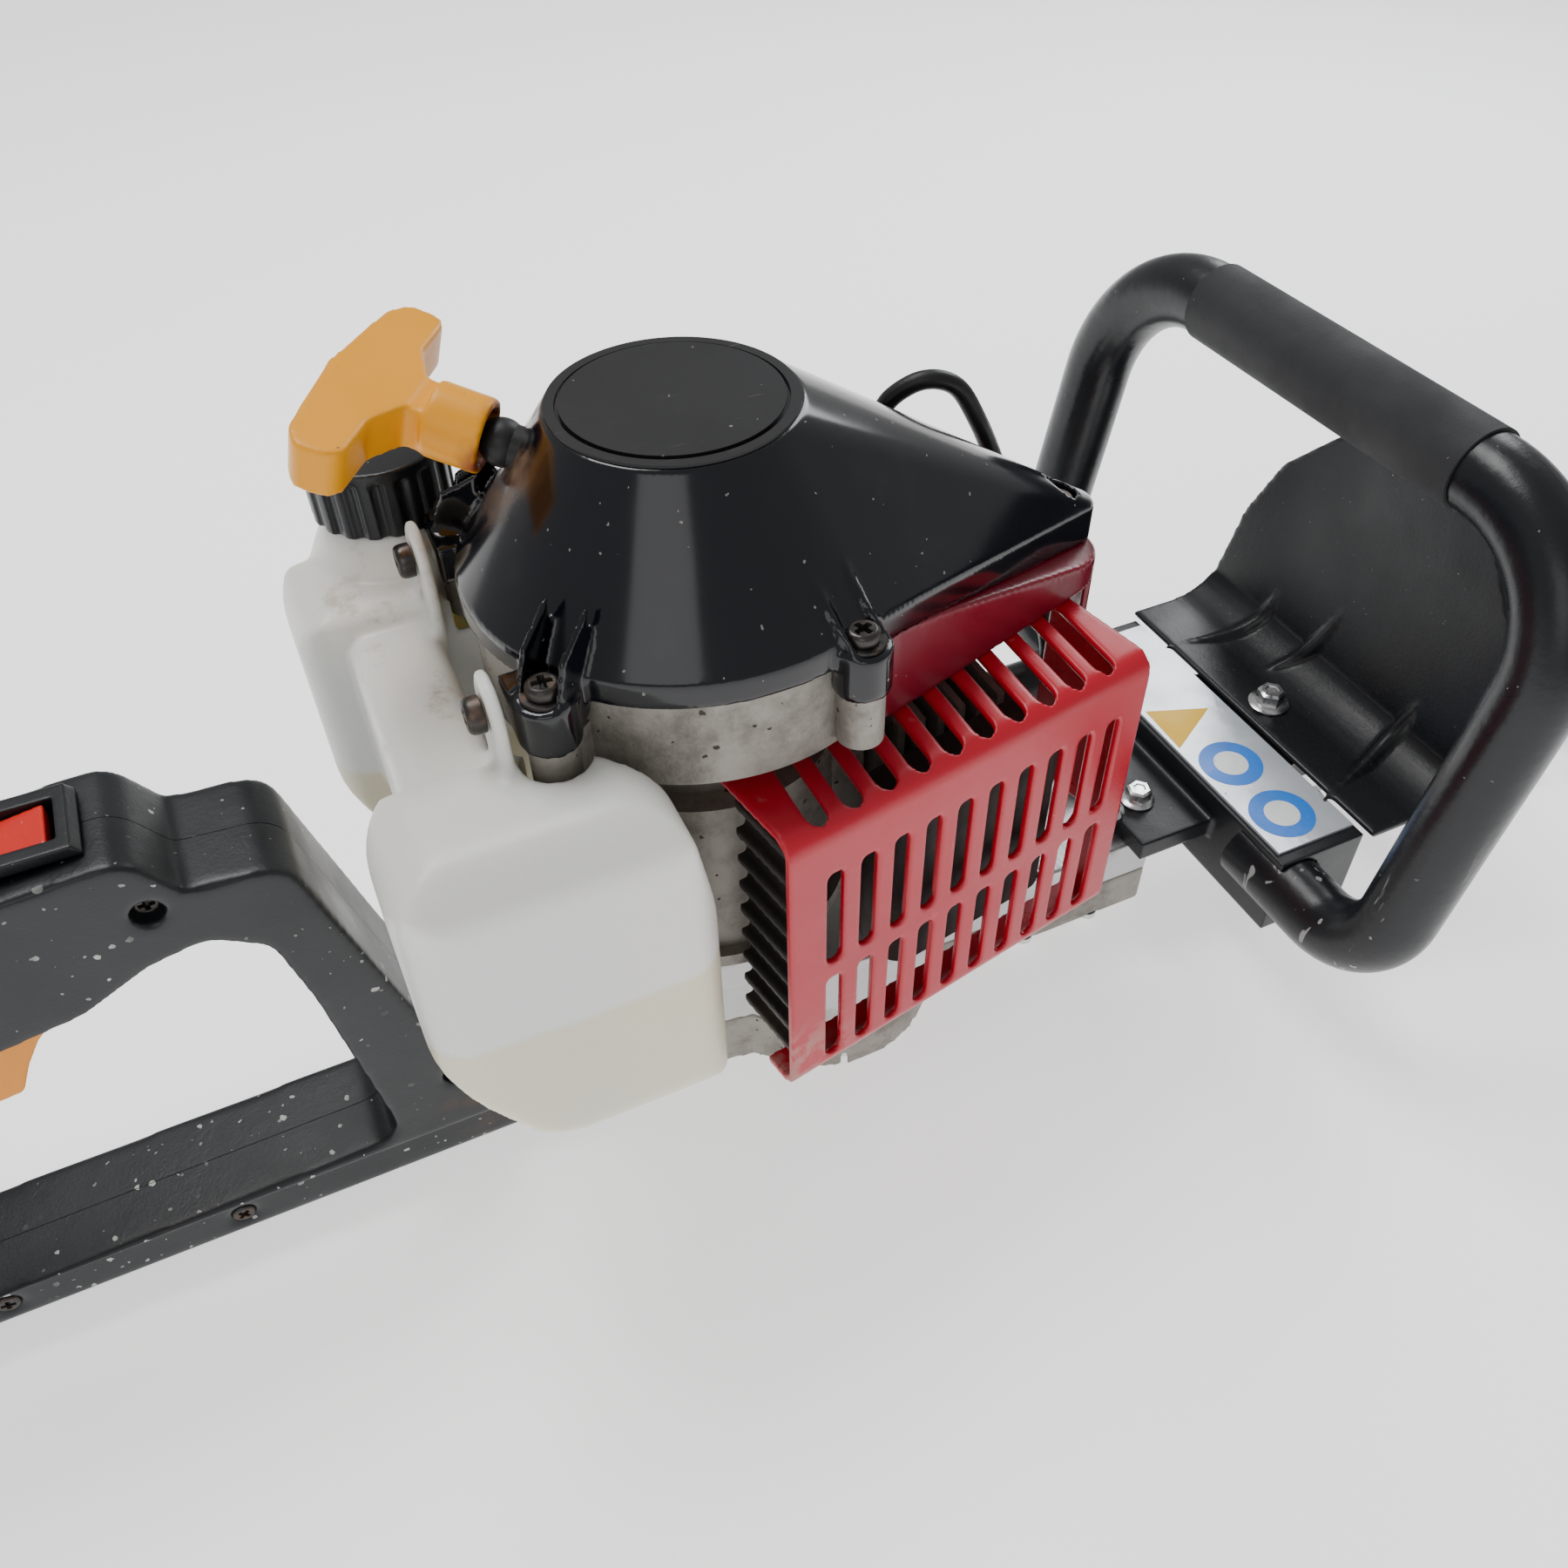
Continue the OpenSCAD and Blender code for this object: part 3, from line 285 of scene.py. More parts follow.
def badge_plastic():
    m = Mat("badge_plastic", (0.007, 0.007, 0.008), 0.5, specular=0.35)
    m.vary_rough(30, 0.07).bump(700, 0.00004)
    m.specks(260, 0.13, 0.3, (0.2, 0.18, 0.15), 0.7)
    scratch = m.ramp(m.noise(60, 2, (1, 14, 1), distortion=0.4), 0.7, 0.74, 0, 0.3)
    m.mix(scratch, (0.1, 0.09, 0.08), 0.6)
    return m.done()


def tank_plastic():
    m = Mat("tank_plastic", (0.83, 0.825, 0.775), 0.34)
    m.b.inputs["Subsurface Weight"].default_value = 0.35
    m.b.inputs["Subsurface Radius"].default_value = (0.009, 0.007, 0.004)
    m.b.inputs["Subsurface Scale"].default_value = 1.0
    m.vary_rough(18, 0.06).bump(40, 0.00035, detail=2).bump(600, 0.00003)
    level = m.math("ADD", m.axis("Z"), m.math("MULTIPLY", m.noise(30, 1), 0.004))
    m.mix(m.ramp(level, 0.133, 0.1365, 0.7, 0.0), (0.76, 0.69, 0.45))
    m.mix(m.ramp(level, 0.08, 0.125, 0.35, 0.0), (0.8, 0.8, 0.7))
    grime = m.ramp(m.noise(60, 8, roughness=0.7), 0.55, 0.72)
    top = m.math("MULTIPLY", m.ramp(m.axis("Z"), 0.17, 0.184), m.near(at(-72, 20, 190), 0.02, 0.06))
    m.mix(m.math("MULTIPLY", grime, m.math("MULTIPLY", top, 0.75)), (0.38, 0.3, 0.2), 0.65)
    m.specks(75, 0.09, 0.16, (0.2, 0.15, 0.09), 0.7, top)
    m.specks(110, 0.035, 0.1, (0.25, 0.2, 0.14), 0.7)
    return m.done()


def red_plastic():
    m = Mat("red_plastic", (0.5, 0.003, 0.02), 0.33)
    m.vary_rough(24, 0.08).bump(260, 0.00006).bump(60, 0.0002, detail=2)
    m.mix(m.ramp(m.noise(20, 4), 0.45, 0.75, 0, 0.45), (0.36, 0.004, 0.02))
    m.mix(m.ramp(m.noise(150, 4, (1, 1, 0.3)), 0.66, 0.75, 0, 0.4), (0.62, 0.12, 0.12), 0.5)
    corner = m.near(at(-4, -80, 68), 0.008, 0.028)
    m.mix(m.math("MULTIPLY", corner, m.ramp(m.noise(160, 5), 0.42, 0.6)), (0.5, 0.2, 0.18), 0.6)
    return m.done()


def red_plastic_painted_shade():
    # Painted shade: the same red plastic as the guard, with its colour darkened to stand in for the
    # shadow on the cowl. The specks are dust.
    m = Mat("red_plastic_painted_shade", (0.20, 0.004, 0.018), 0.3)
    m.vary_rough(24, 0.08).bump(60, 0.0002, detail=2)
    m.specks(240, 0.14, 0.2, (0.4, 0.3, 0.28), 0.6)
    return m.done()


def yellow_plastic():
    m = Mat("yellow_plastic", (0.9, 0.36, 0.0), 0.36, specular=0.4)
    m.vary_rough(40, 0.07).bump(120, 0.00012)
    m.mix(m.ramp(m.noise(34, 5), 0.5, 0.8, 0, 0.45), (0.88, 0.34, 0.0))
    m.specks(260, 0.1, 0.2, (0.35, 0.15, 0.03), 0.6)
    collar = m.near(at(-42, 19, 243), 0.009, 0.013)
    m.mix(m.math("MULTIPLY", collar, m.ramp(m.noise(90, 3), 0.35, 0.6)), (0.25, 0.04, 0.01), 0.6)
    return m.done()


def amber_plastic():
    m = Mat("amber_plastic", (0.8, 0.27, 0.0), 0.3)
    m.b.inputs["Subsurface Weight"].default_value = 0.15
    m.b.inputs["Subsurface Radius"].default_value = (0.006, 0.003, 0.001)
    m.vary_rough(40, 0.08).bump(150, 0.0001)
    m.mix(m.ramp(m.noise(30, 5), 0.5, 0.8, 0, 0.4), (0.6, 0.2, 0.01))
    return m.done()


def switch_red():
    m = Mat("switch_red", (0.72, 0.02, 0.012), 0.28)
    m.vary_rough(50, 0.08).bump(180, 0.00008)
    m.specks(420, 0.14, 0.25, (0.5, 0.3, 0.25), 0.6)
    return m.done()


def foam():
    m = Mat("foam", (0.02, 0.021, 0.023), 0.72, specular=0.4)
    m.bump(1500, 0.00012).bump(240, 0.0001)
    m.vary_rough(30, 0.08)
    m.mix(m.ramp(m.noise(26, 5), 0.45, 0.75, 0, 0.4), (0.04, 0.041, 0.042))
    m.specks(300, 0.1, 0.15, (0.16, 0.16, 0.15), 0.8)
    return m.done()


def tube_coating():
    m = Mat("tube_coating", (0.006, 0.0075, 0.0095), 0.3, specular=0.4)
    m.vary_rough(20, 0.07).bump(320, 0.0001).bump(60, 0.0002, detail=2)
    low = m.ramp(m.axis("Z"), 0.03, 0.13, 1.0, 0.0)
    scratch = m.ramp(m.noise(160, 3, (1, 1, 0.14), distortion=0.5), 0.66, 0.69)
    m.mix(m.math("MULTIPLY", scratch, low), (0.3, 0.3, 0.29), 0.7)
    m.specks(190, 0.24, 0.25, (0.34, 0.33, 0.31), 0.75, low)
    m.specks(330, 0.1, 0.15, (0.2, 0.2, 0.19), 0.75)
    return m.done()


def rubber():
    m = Mat("rubber", (0.007, 0.007, 0.008), 0.4, specular=0.4)
    m.vary_rough(60, 0.1).bump(700, 0.00006)
    m.mix(m.ramp(m.noise(70, 4), 0.5, 0.75, 0, 0.3), (0.05, 0.048, 0.045), 0.6)
    return m.done()


def cast_metal():
    m = Mat("cast_metal", (0.33, 0.31, 0.275), 0.55, metal=0.55)
    m.bump(700, 0.00022).bump(120, 0.0002)
    m.mix(m.ramp(m.noise(45, 6, roughness=0.7), 0.42, 0.72, 0, 0.75), (0.13, 0.115, 0.095), 0.72)
    m.specks(300, 0.25, 0.3, (0.07, 0.06, 0.05), 0.8)
    return m.done()


def bright_alloy():
    m = Mat("bright_alloy", (0.52, 0.52, 0.52), 0.38, metal=0.9)
    m.bump(500, 0.0001).vary_rough(35, 0.1)
    m.mix(m.ramp(m.noise(50, 5), 0.5, 0.75, 0, 0.6), (0.22, 0.21, 0.2), 0.6)
    return m.done()


def zinc_steel():
    m = Mat("zinc_steel", (0.66, 0.66, 0.66), 0.25, metal=1.0)
    m.vary_rough(160, 0.1).bump(300, 0.00005)
    m.mix(m.ramp(m.noise(140, 5), 0.5, 0.75, 0, 0.6), (0.3, 0.29, 0.27), 0.5)
    return m.done()


def blade_steel():
    m = Mat("blade_steel", (0.5, 0.5, 0.51), 0.3, metal=1.0)
    m.bump(240, 0.00006, (0.08, 1, 1))
    m.vary_rough(90, 0.12, (0.1, 1, 1))
    m.mix(m.ramp(m.noise(30, 6), 0.52, 0.75, 0, 0.7), (0.17, 0.13, 0.1), 0.6)
    m.specks(150, 0.2, 0.2, (0.13, 0.08, 0.05), 0.8)
    return m.done()


def dark_steel():
    m = Mat("dark_steel", (0.06, 0.055, 0.052), 0.36, metal=0.85)
    m.vary_rough(180, 0.1).bump(400, 0.00008)
    m.mix(m.ramp(m.noise(170, 5), 0.5, 0.7, 0, 0.6), (0.16, 0.1, 0.065), 0.6)
    return m.done()


def burnt_metal():
    m = Mat("burnt_metal", (0.035, 0.032, 0.03), 0.6, metal=0.4)
    m.bump(300, 0.0002).vary_rough(50, 0.1)
    m.mix(m.ramp(m.noise(40, 6), 0.45, 0.7, 0, 0.6), (0.09, 0.07, 0.055), 0.75)
    return m.done()


def simple(name, colour, rough, metal=0.0):
    m = Mat(name, colour, rough, metal)
    m.vary_rough(60, 0.06).bump(300, 0.00006)
    darker = tuple(c * 0.6 for c in colour)
    m.mix(m.ramp(m.noise(50, 5), 0.5, 0.78, 0, 0.45), darker)
    m.specks(260, 0.12, 0.2, tuple(c * 0.4 for c in colour), 0.7)
    return m.done()


BLACK = black_plastic()
SPATTERED = spattered_plastic()
GLOSS = gloss_black()
BADGE = badge_plastic()
TANK = tank_plastic()
RED = red_plastic()
RED_PAINTED_SHADE = red_plastic_painted_shade()
YELLOW = yellow_plastic()
AMBER = amber_plastic()
SWITCH = switch_red()
FOAM = foam()
TUBE = tube_coating()
RUBBER = rubber()
CAST = cast_metal()
ALLOY = bright_alloy()
ZINC = zinc_steel()
BLADE = blade_steel()
DARK = dark_steel()
BURNT = burnt_metal()
CERAMIC = simple("ceramic", (0.85, 0.84, 0.8), 0.2)
FUEL_HOSE = simple("fuel_hose", (0.7, 0.55, 0.2), 0.25)
ROPE = simple("rope", (0.6, 0.58, 0.52), 0.8)
PRIMER = simple("primer", (0.5, 0.12, 0.06), 0.35)
LEVER = simple("lever", (0.7, 0.66, 0.56), 0.4)
LABEL = simple("label", (0.62, 0.66, 0.7), 0.2, 0.35)
LABEL_BLUE = simple("label_blue", (0.0, 0.2, 0.8), 0.3)
LABEL_YELLOW = simple("label_yellow", (0.95, 0.55, 0.0), 0.45)
LABEL_WHITE = simple("label_white", (0.85, 0.87, 0.88), 0.22)

BY_SLOT = {
    "black_plastic": BLACK, "gloss_black_plastic": GLOSS, "dark_screws": DARK,
    "red_switch": SWITCH, "amber_plastic": AMBER, "yellow_plastic": YELLOW,
    "tank_plastic": TANK, "black_rubber": RUBBER, "clear_tube": FUEL_HOSE,
    "rope_fibre": ROPE, "steel": ZINC, "blade_steel": BLADE, "cast_metal": CAST,
    "ceramic": CERAMIC, "red_plastic": RED, "dark_metal": BURNT, "primer_rubber": PRIMER,
    "lever_plastic": LEVER, "black_tube": TUBE, "grip_foam": FOAM, "label_film": LABEL,
}
SLOT_OF = {s["node"]: s["material_slot"] for s in frame["record"]["subparts"]}
BODY_OF = {n: b for b, ns in frame["record"]["behaviour"]["bodies"].items() for n in ns}


# ---------------------------------------------------------------- mesh helpers
def paint(o, material):
    o.data.materials.clear()
    o.data.materials.append(material)
    for p in o.data.polygons:
        p.material_index = 0


def add(name, mesh, material):
    o = bpy.data.objects.new(name, mesh)
    bpy.context.scene.collection.objects.link(o)
    paint(o, material)
    return o


def settle(o):
    """Applies an object's modifiers to its mesh."""
    graph = bpy.context.evaluated_depsgraph_get()
    mesh = bpy.data.meshes.new_from_object(o.evaluated_get(graph), depsgraph=graph)
    o.modifiers.clear()
    o.data = mesh
    return o


def smooth(o, angle=180):
    o.data.shade_smooth()
    if angle < 180:
        sharp = math.radians(angle)
        bm = bmesh.new()
        bm.from_mesh(o.data)
        for e in bm.edges:
            e.smooth = len(e.link_faces) == 2 and e.calc_face_angle(0) < sharp
        bm.to_mesh(o.data)
        bm.free()
    return o


def stand_for(o, nodes):
    """o takes the place of CAD nodes of one body."""
    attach(o, BODY_OF[nodes[0]])
    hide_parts(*nodes)
    return o


def joined(nodes):
    bm = bmesh.new()
    for n in nodes:
        bm.from_mesh(NODES[n].data)
    bmesh.ops.remove_doubles(bm, verts=bm.verts, dist=1e-6)
    mesh = bpy.data.meshes.new("joined")
    bm.to_mesh(mesh)
    bm.free()
    return mesh


def remeshed(o, voxel, passes):
    r = o.modifiers.new("remesh", "REMESH")
    r.mode = "VOXEL"
    r.voxel_size = voxel * MM
    if passes:
        s = o.modifiers.new("smooth", "SMOOTH")
        s.factor = 0.5
        s.iterations = passes
    settle(o)
    return smooth(o)


def moulded(name, nodes, voxel, passes, material, extra=None):
    """A CAD node's shape, with anything extra, its edges rounded as a mould leaves them."""
    mesh = joined(nodes)
    if extra:
        bm = bmesh.new()
        bm.from_mesh(mesh)
        extra(bm)
        bmesh.ops.recalc_face_normals(bm, faces=bm.faces)
        bm.to_mesh(mesh)
        bm.free()
    o = add(name, mesh, material)
    remeshed(o, voxel, passes)
    paint(o, material)
    return stand_for(o, nodes)


def crisp(name, nodes, width, material):
    """A CAD node's shape with narrow bevels."""
    o = add(name, joined(nodes), material)
    bm = bmesh.new()
    bm.from_mesh(o.data)
    bmesh.ops.dissolve_limit(
        bm, angle_limit=math.radians(0.6), verts=bm.verts, edges=bm.edges)
    bm.to_mesh(o.data)
    bm.free()
    b = o.modifiers.new("bevel", "BEVEL")
    b.width = width * MM
    b.segments = 2
    b.limit_method = "ANGLE"
    b.angle_limit = math.radians(32)
    b.use_clamp_overlap = True
    settle(o)
    smooth(o, 34)
    paint(o, material)
    return stand_for(o, nodes)


def from_bm(name, bm, material, body):
    mesh = bpy.data.meshes.new(name)
    bmesh.ops.recalc_face_normals(bm, faces=bm.faces)
    bm.to_mesh(mesh)
    bm.free()
    o = add(name, mesh, material)
    if body:
        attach(o, body)
    return o


def prism(bm, points, low, high, plane="xz"):
    """A closed prism: points in millimetres in one plane, drawn out between low and high."""
    def place(p, d):
        return at(p[0], d, p[1]) if plane == "xz" else at(p[0], p[1], d)
    a = [bm.verts.new(place(p, low)) for p in points]
    b = [bm.verts.new(place(p, high)) for p in points]
    bm.faces.new(a)
    bm.faces.new(list(reversed(b)))
    for i in range(len(a)):
        j = (i + 1) % len(a)
        bm.faces.new((a[i], b[i], b[j], a[j]))


def frame_of(origin, axis, spin=0.0):
    """A matrix whose Z runs along axis."""
    z = Vector(axis).normalized()
    q = z.to_track_quat("Z", "Y")
    return Matrix.Translation(origin) @ q.to_matrix().to_4x4() @ Matrix.Rotation(spin, 4, "Z")


def lathe(bm, profile, matrix, sides=32):
    """Turns (radius, height) pairs in millimetres into a closed body."""
    rings = []
    for r, z in profile:
        if r < 1e-6:
            rings.append([bm.verts.new(matrix @ Vector((0, 0, z * MM)))])
        else:
            rings.append([
                bm.verts.new(matrix @ Vector((
                    r * MM * math.cos(2 * math.pi * k / sides),
                    r * MM * math.sin(2 * math.pi * k / sides), z * MM)))
                for k in range(sides)])
    for a, b in zip(rings, rings[1:]):
        for k in range(sides):
            k2 = (k + 1) % sides
            if len(a) == 1:
                bm.faces.new((a[0], b[k2], b[k]))
            elif len(b) == 1:
                bm.faces.new((a[k], a[k2], b[0]))
            else:
                bm.faces.new((a[k], a[k2], b[k2], b[k]))


def cross_recess(bm, matrix, top, reach, width, depth):
    """Lowers a fine round cap into a cross-shaped socket. The cap's rim is left flat."""
    rings, sides = 10, 48
    radius = reach * 1.25
    grid = []
    for i in range(rings + 1):
        r = radius * i / rings
        row = []
        for k in range(sides if i else 1):
            a = 2 * math.pi * k / sides
            x, y = r * math.cos(a), r * math.sin(a)
            arm = min(abs(x), abs(y))
            far = max(abs(x), abs(y))
            d = max(0.0, min(1.0, (width - arm) / (0.35 * width)))
            d *= max(0.0, min(1.0, (reach - far) / (0.25 * reach)))
            row.append(bm.verts.new(matrix @ Vector((x * MM, y * MM, (top - depth * d) * MM))))
        grid.append(row)
    for i in range(rings):
        for k in range(sides):
            k2 = (k + 1) % sides
            if i == 0:
                bm.faces.new((grid[0][0], grid[1][k], grid[1][k2]))
            else:
                bm.faces.new((grid[i][k], grid[i + 1][k], grid[i + 1][k2], grid[i][k2]))
    return radius


def pan_screw(bm, origin, axis, r, h, washer=0.0, spin=0.3, shank=0.0):
    """A pan-head screw standing on origin, with a cross recess and perhaps a washer."""
    m = frame_of(origin, axis, spin)
    base = 0.0
    if washer:
        w = washer
        lathe(bm, [(0, -0.2), (w - 0.2, -0.2), (w, 0), (w, 0.9), (w - 0.2, 1.1), (0, 1.1)], m, 40)
        base = 1.1
    cap = r * 0.74
    lathe(bm, [
        (0, base - 0.1), (r - 0.25, base - 0.1), (r, base + 0.2), (r, base + h * 0.55),
        (r * 0.96, base + h * 0.78), (r * 0.87, base + h * 0.93), (cap, base + h),
    ], m, 48)
    cross_recess(bm, m, base + h, cap / 1.25, r * 0.17, h * 0.65)
    if shank:
        lathe(bm, [(0, -shank), (1.9, -shank), (1.9, base), (0, base)], m, 16)


def hex_bolt(bm, origin, axis, across, h, flange=0.0, spin=0.2):
    """A hexagon head with a chamfered top, perhaps on a flange."""
    m = frame_of(origin, axis, spin)
    base = 0.0
    if flange:
        f = flange
        lathe(bm, [(0, 0), (f - 0.3, 0), (f, 0.3), (f, 1.0), (f * 0.8, 1.9), (0, 1.9)], m, 40)
        base = 1.7
    r = across / 2 / math.cos(math.pi / 6)
    top = base + h
    lathe(bm, [(0, base), (r, base), (r, base + h * 0.86), (across / 2 * 0.93, top),
               (across * 0.3, top), (across * 0.24, top - 0.5), (0, top - 0.5)], m, 6)


def swept(points, radius, sides=20):
    """A tube along points in metres, as a bmesh."""
    bm = bmesh.new()
    pts = [Vector(p) for p in points]
    side = None
    rings = []
    for i, p in enumerate(pts):
        h = (pts[min(i + 1, len(pts) - 1)] - pts[max(i - 1, 0)]).normalized()
        if side is None:
            side = h.orthogonal().normalized()
        side = (side - side.dot(h) * h).normalized()
        up = h.cross(side)
        rings.append([
            bm.verts.new(p + radius * (math.cos(a) * side + math.sin(a) * up))
            for a in (2 * math.pi * k / sides for k in range(sides))])
    for a, b in zip(rings, rings[1:]):
        for k in range(sides):
            k2 = (k + 1) % sides
            bm.faces.new((a[k], b[k], b[k2], a[k2]))
    bm.faces.new(list(reversed(rings[0])))
    bm.faces.new(rings[-1])
    return bm


def spline(points, steps):
    """Points on a Catmull-Rom curve through the given ones."""
    p = [Vector(q) for q in points]
    out = []
    for i in range(len(p) - 1):
        a, b, c, d = p[max(i - 1, 0)], p[i], p[i + 1], p[min(i + 2, len(p) - 1)]
        for k in range(steps):
            t = k / steps
            out.append(0.5 * ((2 * b) + (c - a) * t + (2 * a - 5 * b + 4 * c - d) * t * t
                              + (3 * b - a - 3 * c + d) * t * t * t))
    out.append(p[-1])
    return out


# ---------------------------------------------------------------- carried-over CAD nodes
for name, node in NODES.items():
    smooth(node, 30)
    paint(node, BY_SLOT[SLOT_OF[name]])
paint(NODES["starter_badge"], BADGE)
# The cowl takes the darkened red, which is painted shade over the red plastic.
paint(NODES["engine_cowl"], RED_PAINTED_SHADE)
paint(NODES["blade_support_bar"], ALLOY)
paint(NODES["gear_case_upper"], ALLOY)

# ---------------------------------------------------------------- moulded pieces
moulded("fuel_tank_shell", ["fuel_tank"], 1.1, 14, TANK)
moulded("pull_handle", ["starter_t_handle"], 0.6, 20, YELLOW)
moulded("filler_cap", ["tank_cap"], 0.6, 3, BLACK)
moulded("trigger_lever", ["throttle_trigger"], 0.7, 8, AMBER)
moulded("lockout_lever", ["throttle_lockout"], 0.6, 6, BLACK)
moulded("stop_rocker", ["stop_switch_rocker"], 0.4, 4, SWITCH)
moulded("switch_frame", ["switch_bezel"], 0.5, 3, BLACK)
moulded("exhaust_guard", ["muffler_guard"], 0.7, 4, RED)
moulded("handle_mount", ["front_handle_bracket"], 1.0, 4, BLACK)
moulded("filter_cover", ["air_filter_housing"], 0.9, 5, BLACK)
moulded("blade_tip_guard", ["tip_guard"], 0.7, 5, BLACK)
moulded("lower_gear_case", ["gear_case_lower"], 1.2, 4, CAST)
moulded("shield_plate", ["heat_shield"], 0.7, 2, BURNT)


def ribs(bm):
    """Three tapered ribs on the operator's side of the hand guard."""
    for line in (
            [(228, 48.6, 61.4), (250, 43, 62.6), (264, 40, 67), (272, 38, 78), (277.5, 35, 110)],
            [(254, 17, 62.4), (266, 13, 69), (272, 9, 80), (275, 5, 94), (278, 0, 110)],
            [(226, -52, 61.4), (250, -45, 62.6), (265, -41, 68), (273, -42, 82), (278, -46, 112)]):
        path = spline([at(*p) for p in line], 6)
        n = len(path) - 1
        for i, (a, b) in enumerate(zip(path, path[1:])):
            r = 0.7 + 2.5 * math.sin(math.pi * (i + 0.5) / n)
            reach = (b - a).length / MM + 0.4
            lathe(bm, [(0, 0), (r, 0), (r, reach), (0, reach)], frame_of(a, b - a), 12)


moulded("front_guard", ["hand_guard"], 0.9, 3, BLACK, ribs)
moulded("upper_gear_case", ["gear_case_upper"], 1.1, 4, ALLOY)
# The cowl shell is given the darkened red, which is painted shade over the red plastic.
moulded("cowl_shell", ["engine_cowl"], 0.9, 5, RED_PAINTED_SHADE)
moulded("plug_cover", ["spark_plug_boot"], 0.5, 6, RUBBER)
for blade in ("upper_blade", "lower_blade"):
    crisp(blade + "_ground", [blade], 0.5, BLADE)


# ---------------------------------------------------------------- starter cover
COVER_R, DISC_R = 62, 33  # radii of the cone's foot and of its flat top
RIM_Z, FOOT_Z, DISC_Z = 205, 213, 255
TAIL_X, TAIL_R, TAIL_LOW_Z, TAIL_TOP_Z = 126, 9, 172, 190
TAIL_SCREW_X = TAIL_X - 3
COVER_WALL = 2.5


def cover_hull(inset, sides=256):
    """The cone, its rim and its pointed tail, wrapped together."""
    bm = bmesh.new()
    rings = [
        (0, COVER_R - inset, FOOT_Z - inset, sides),
        (0, DISC_R - inset, DISC_Z - inset, sides),
        (0, COVER_R - inset, RIM_Z - 2 * inset, sides),
        (0, COVER_R - inset, RIM_Z + 4 - 2 * inset, sides),
        (TAIL_X, TAIL_R - inset / 2, TAIL_LOW_Z - 2 * inset, 64),
        (TAIL_X, TAIL_R - inset / 2, TAIL_TOP_Z - 1.4 * inset, 64),
    ]
    for x, r, z, n in rings:
        for k in range(n):
            a = 2 * math.pi * k / n
            bm.verts.new(at(x + r * math.cos(a), r * math.sin(a), z))
    done = bmesh.ops.convex_hull(bm, input=bm.verts)
    loose = {v for v in done["geom_interior"] + done["geom_unused"]
             if isinstance(v, bmesh.types.BMVert) and not v.link_faces}
    bmesh.ops.delete(bm, geom=list(loose), context="VERTS")
    mesh = bpy.data.meshes.new("cover_hull")
    bm.to_mesh(mesh)
    bm.free()
    return add("cover_hull", mesh, GLOSS)


def cut(o, tool):
    """Takes tool away from o, and away altogether."""
    b = o.modifiers.new("cut", "BOOLEAN")
    b.operation = "DIFFERENCE"
    b.solver = "EXACT"
    b.object = tool
    settle(o)
    bpy.data.objects.remove(tool)


def drawn(build):
    """An object made by a function that fills a bmesh."""
    bm = bmesh.new()
    build(bm)
    bmesh.ops.recalc_face_normals(bm, faces=bm.faces)
    mesh = bpy.data.meshes.new("drawn")
    bm.to_mesh(mesh)
    bm.free()
    return add("drawn", mesh, GLOSS)


LUGS = [(s * a, r) for a, r in ((141, 69), (67, 63.5)) for s in (1, -1)]


def lug_place(angle, r, z):
    a = math.radians(angle)
    return at(r * math.cos(a), r * math.sin(a), z)


cover = cover_hull(0)
cover.name = "starter_cover"
cut(cover, cover_hull(COVER_WALL))
cut(cover, drawn(lambda bm: prism(bm, [
    (-90, 100), (190, 100), (190, TAIL_LOW_Z + 2), (TAIL_X + 20, TAIL_LOW_Z + 2),
    (60, RIM_Z - 8), (20, RIM_Z + 0.4), (-90, RIM_Z + 0.4)], -90, 90)))


def openings(bm):
    """The tail screw's hole and the seat round its head."""
    place = frame_of(at(TAIL_SCREW_X, 0, 0), (0, 0, 1))
    for r, low in ((2.6, 150), (5.6, TAIL_TOP_Z)):
        lathe(bm, [(0, low), (r, low), (r, 215), (0, 215)], place)


cut(cover, drawn(openings))


def lugs(bm):
    """Four screw lugs, each between two fins, and the two ears that the tank hangs on."""
    for a, r in LUGS:
        t = math.radians(a)
        m = frame_of(lug_place(a, r, 197), (0, 0, 1))
        lathe(bm, [(2.6, 0), (8, 0), (8, 14), (2.6, 14), (2.6, 0)], m, 48)
        out = Vector((math.cos(t), math.sin(t), 0))
        side = Vector((-math.sin(t), math.cos(t), 0))
        base = lug_place(a, r, 200)
        for w in (-5.6, 5.6):
            fin_top = 22 if abs(a) > 100 else 16
            corners = [(-9, 0), (5, 0), (3, 12), (-1, fin_top), (-14, 30)]
            a_side, b_side = (
                [bm.verts.new(base + out * x * MM + side * (w + d) * MM
                              + Vector((0, 0, z * MM))) for x, z in corners]
                for d in (-0.9, 0.9))
            bm.faces.new(a_side)
            bm.faces.new(list(reversed(b_side)))
            for i in range(len(corners)):
                j = (i + 1) % len(corners)
                bm.faces.new((a_side[i], b_side[i], b_side[j], a_side[j]))
    for s in (1, -1):
        prism(bm, [(-62, 198.7), (-49, 198.7), (-49, 210), (-62, 210)], s * 29, s * 44)


lug_set = drawn(lugs)
bm = bmesh.new()
bm.from_mesh(cover.data)
bm.from_mesh(lug_set.data)
bm.to_mesh(cover.data)
bm.free()
bpy.data.objects.remove(lug_set)
remeshed(cover, 0.9, 5)
paint(cover, GLOSS)
stand_for(cover, ["starter_housing"])


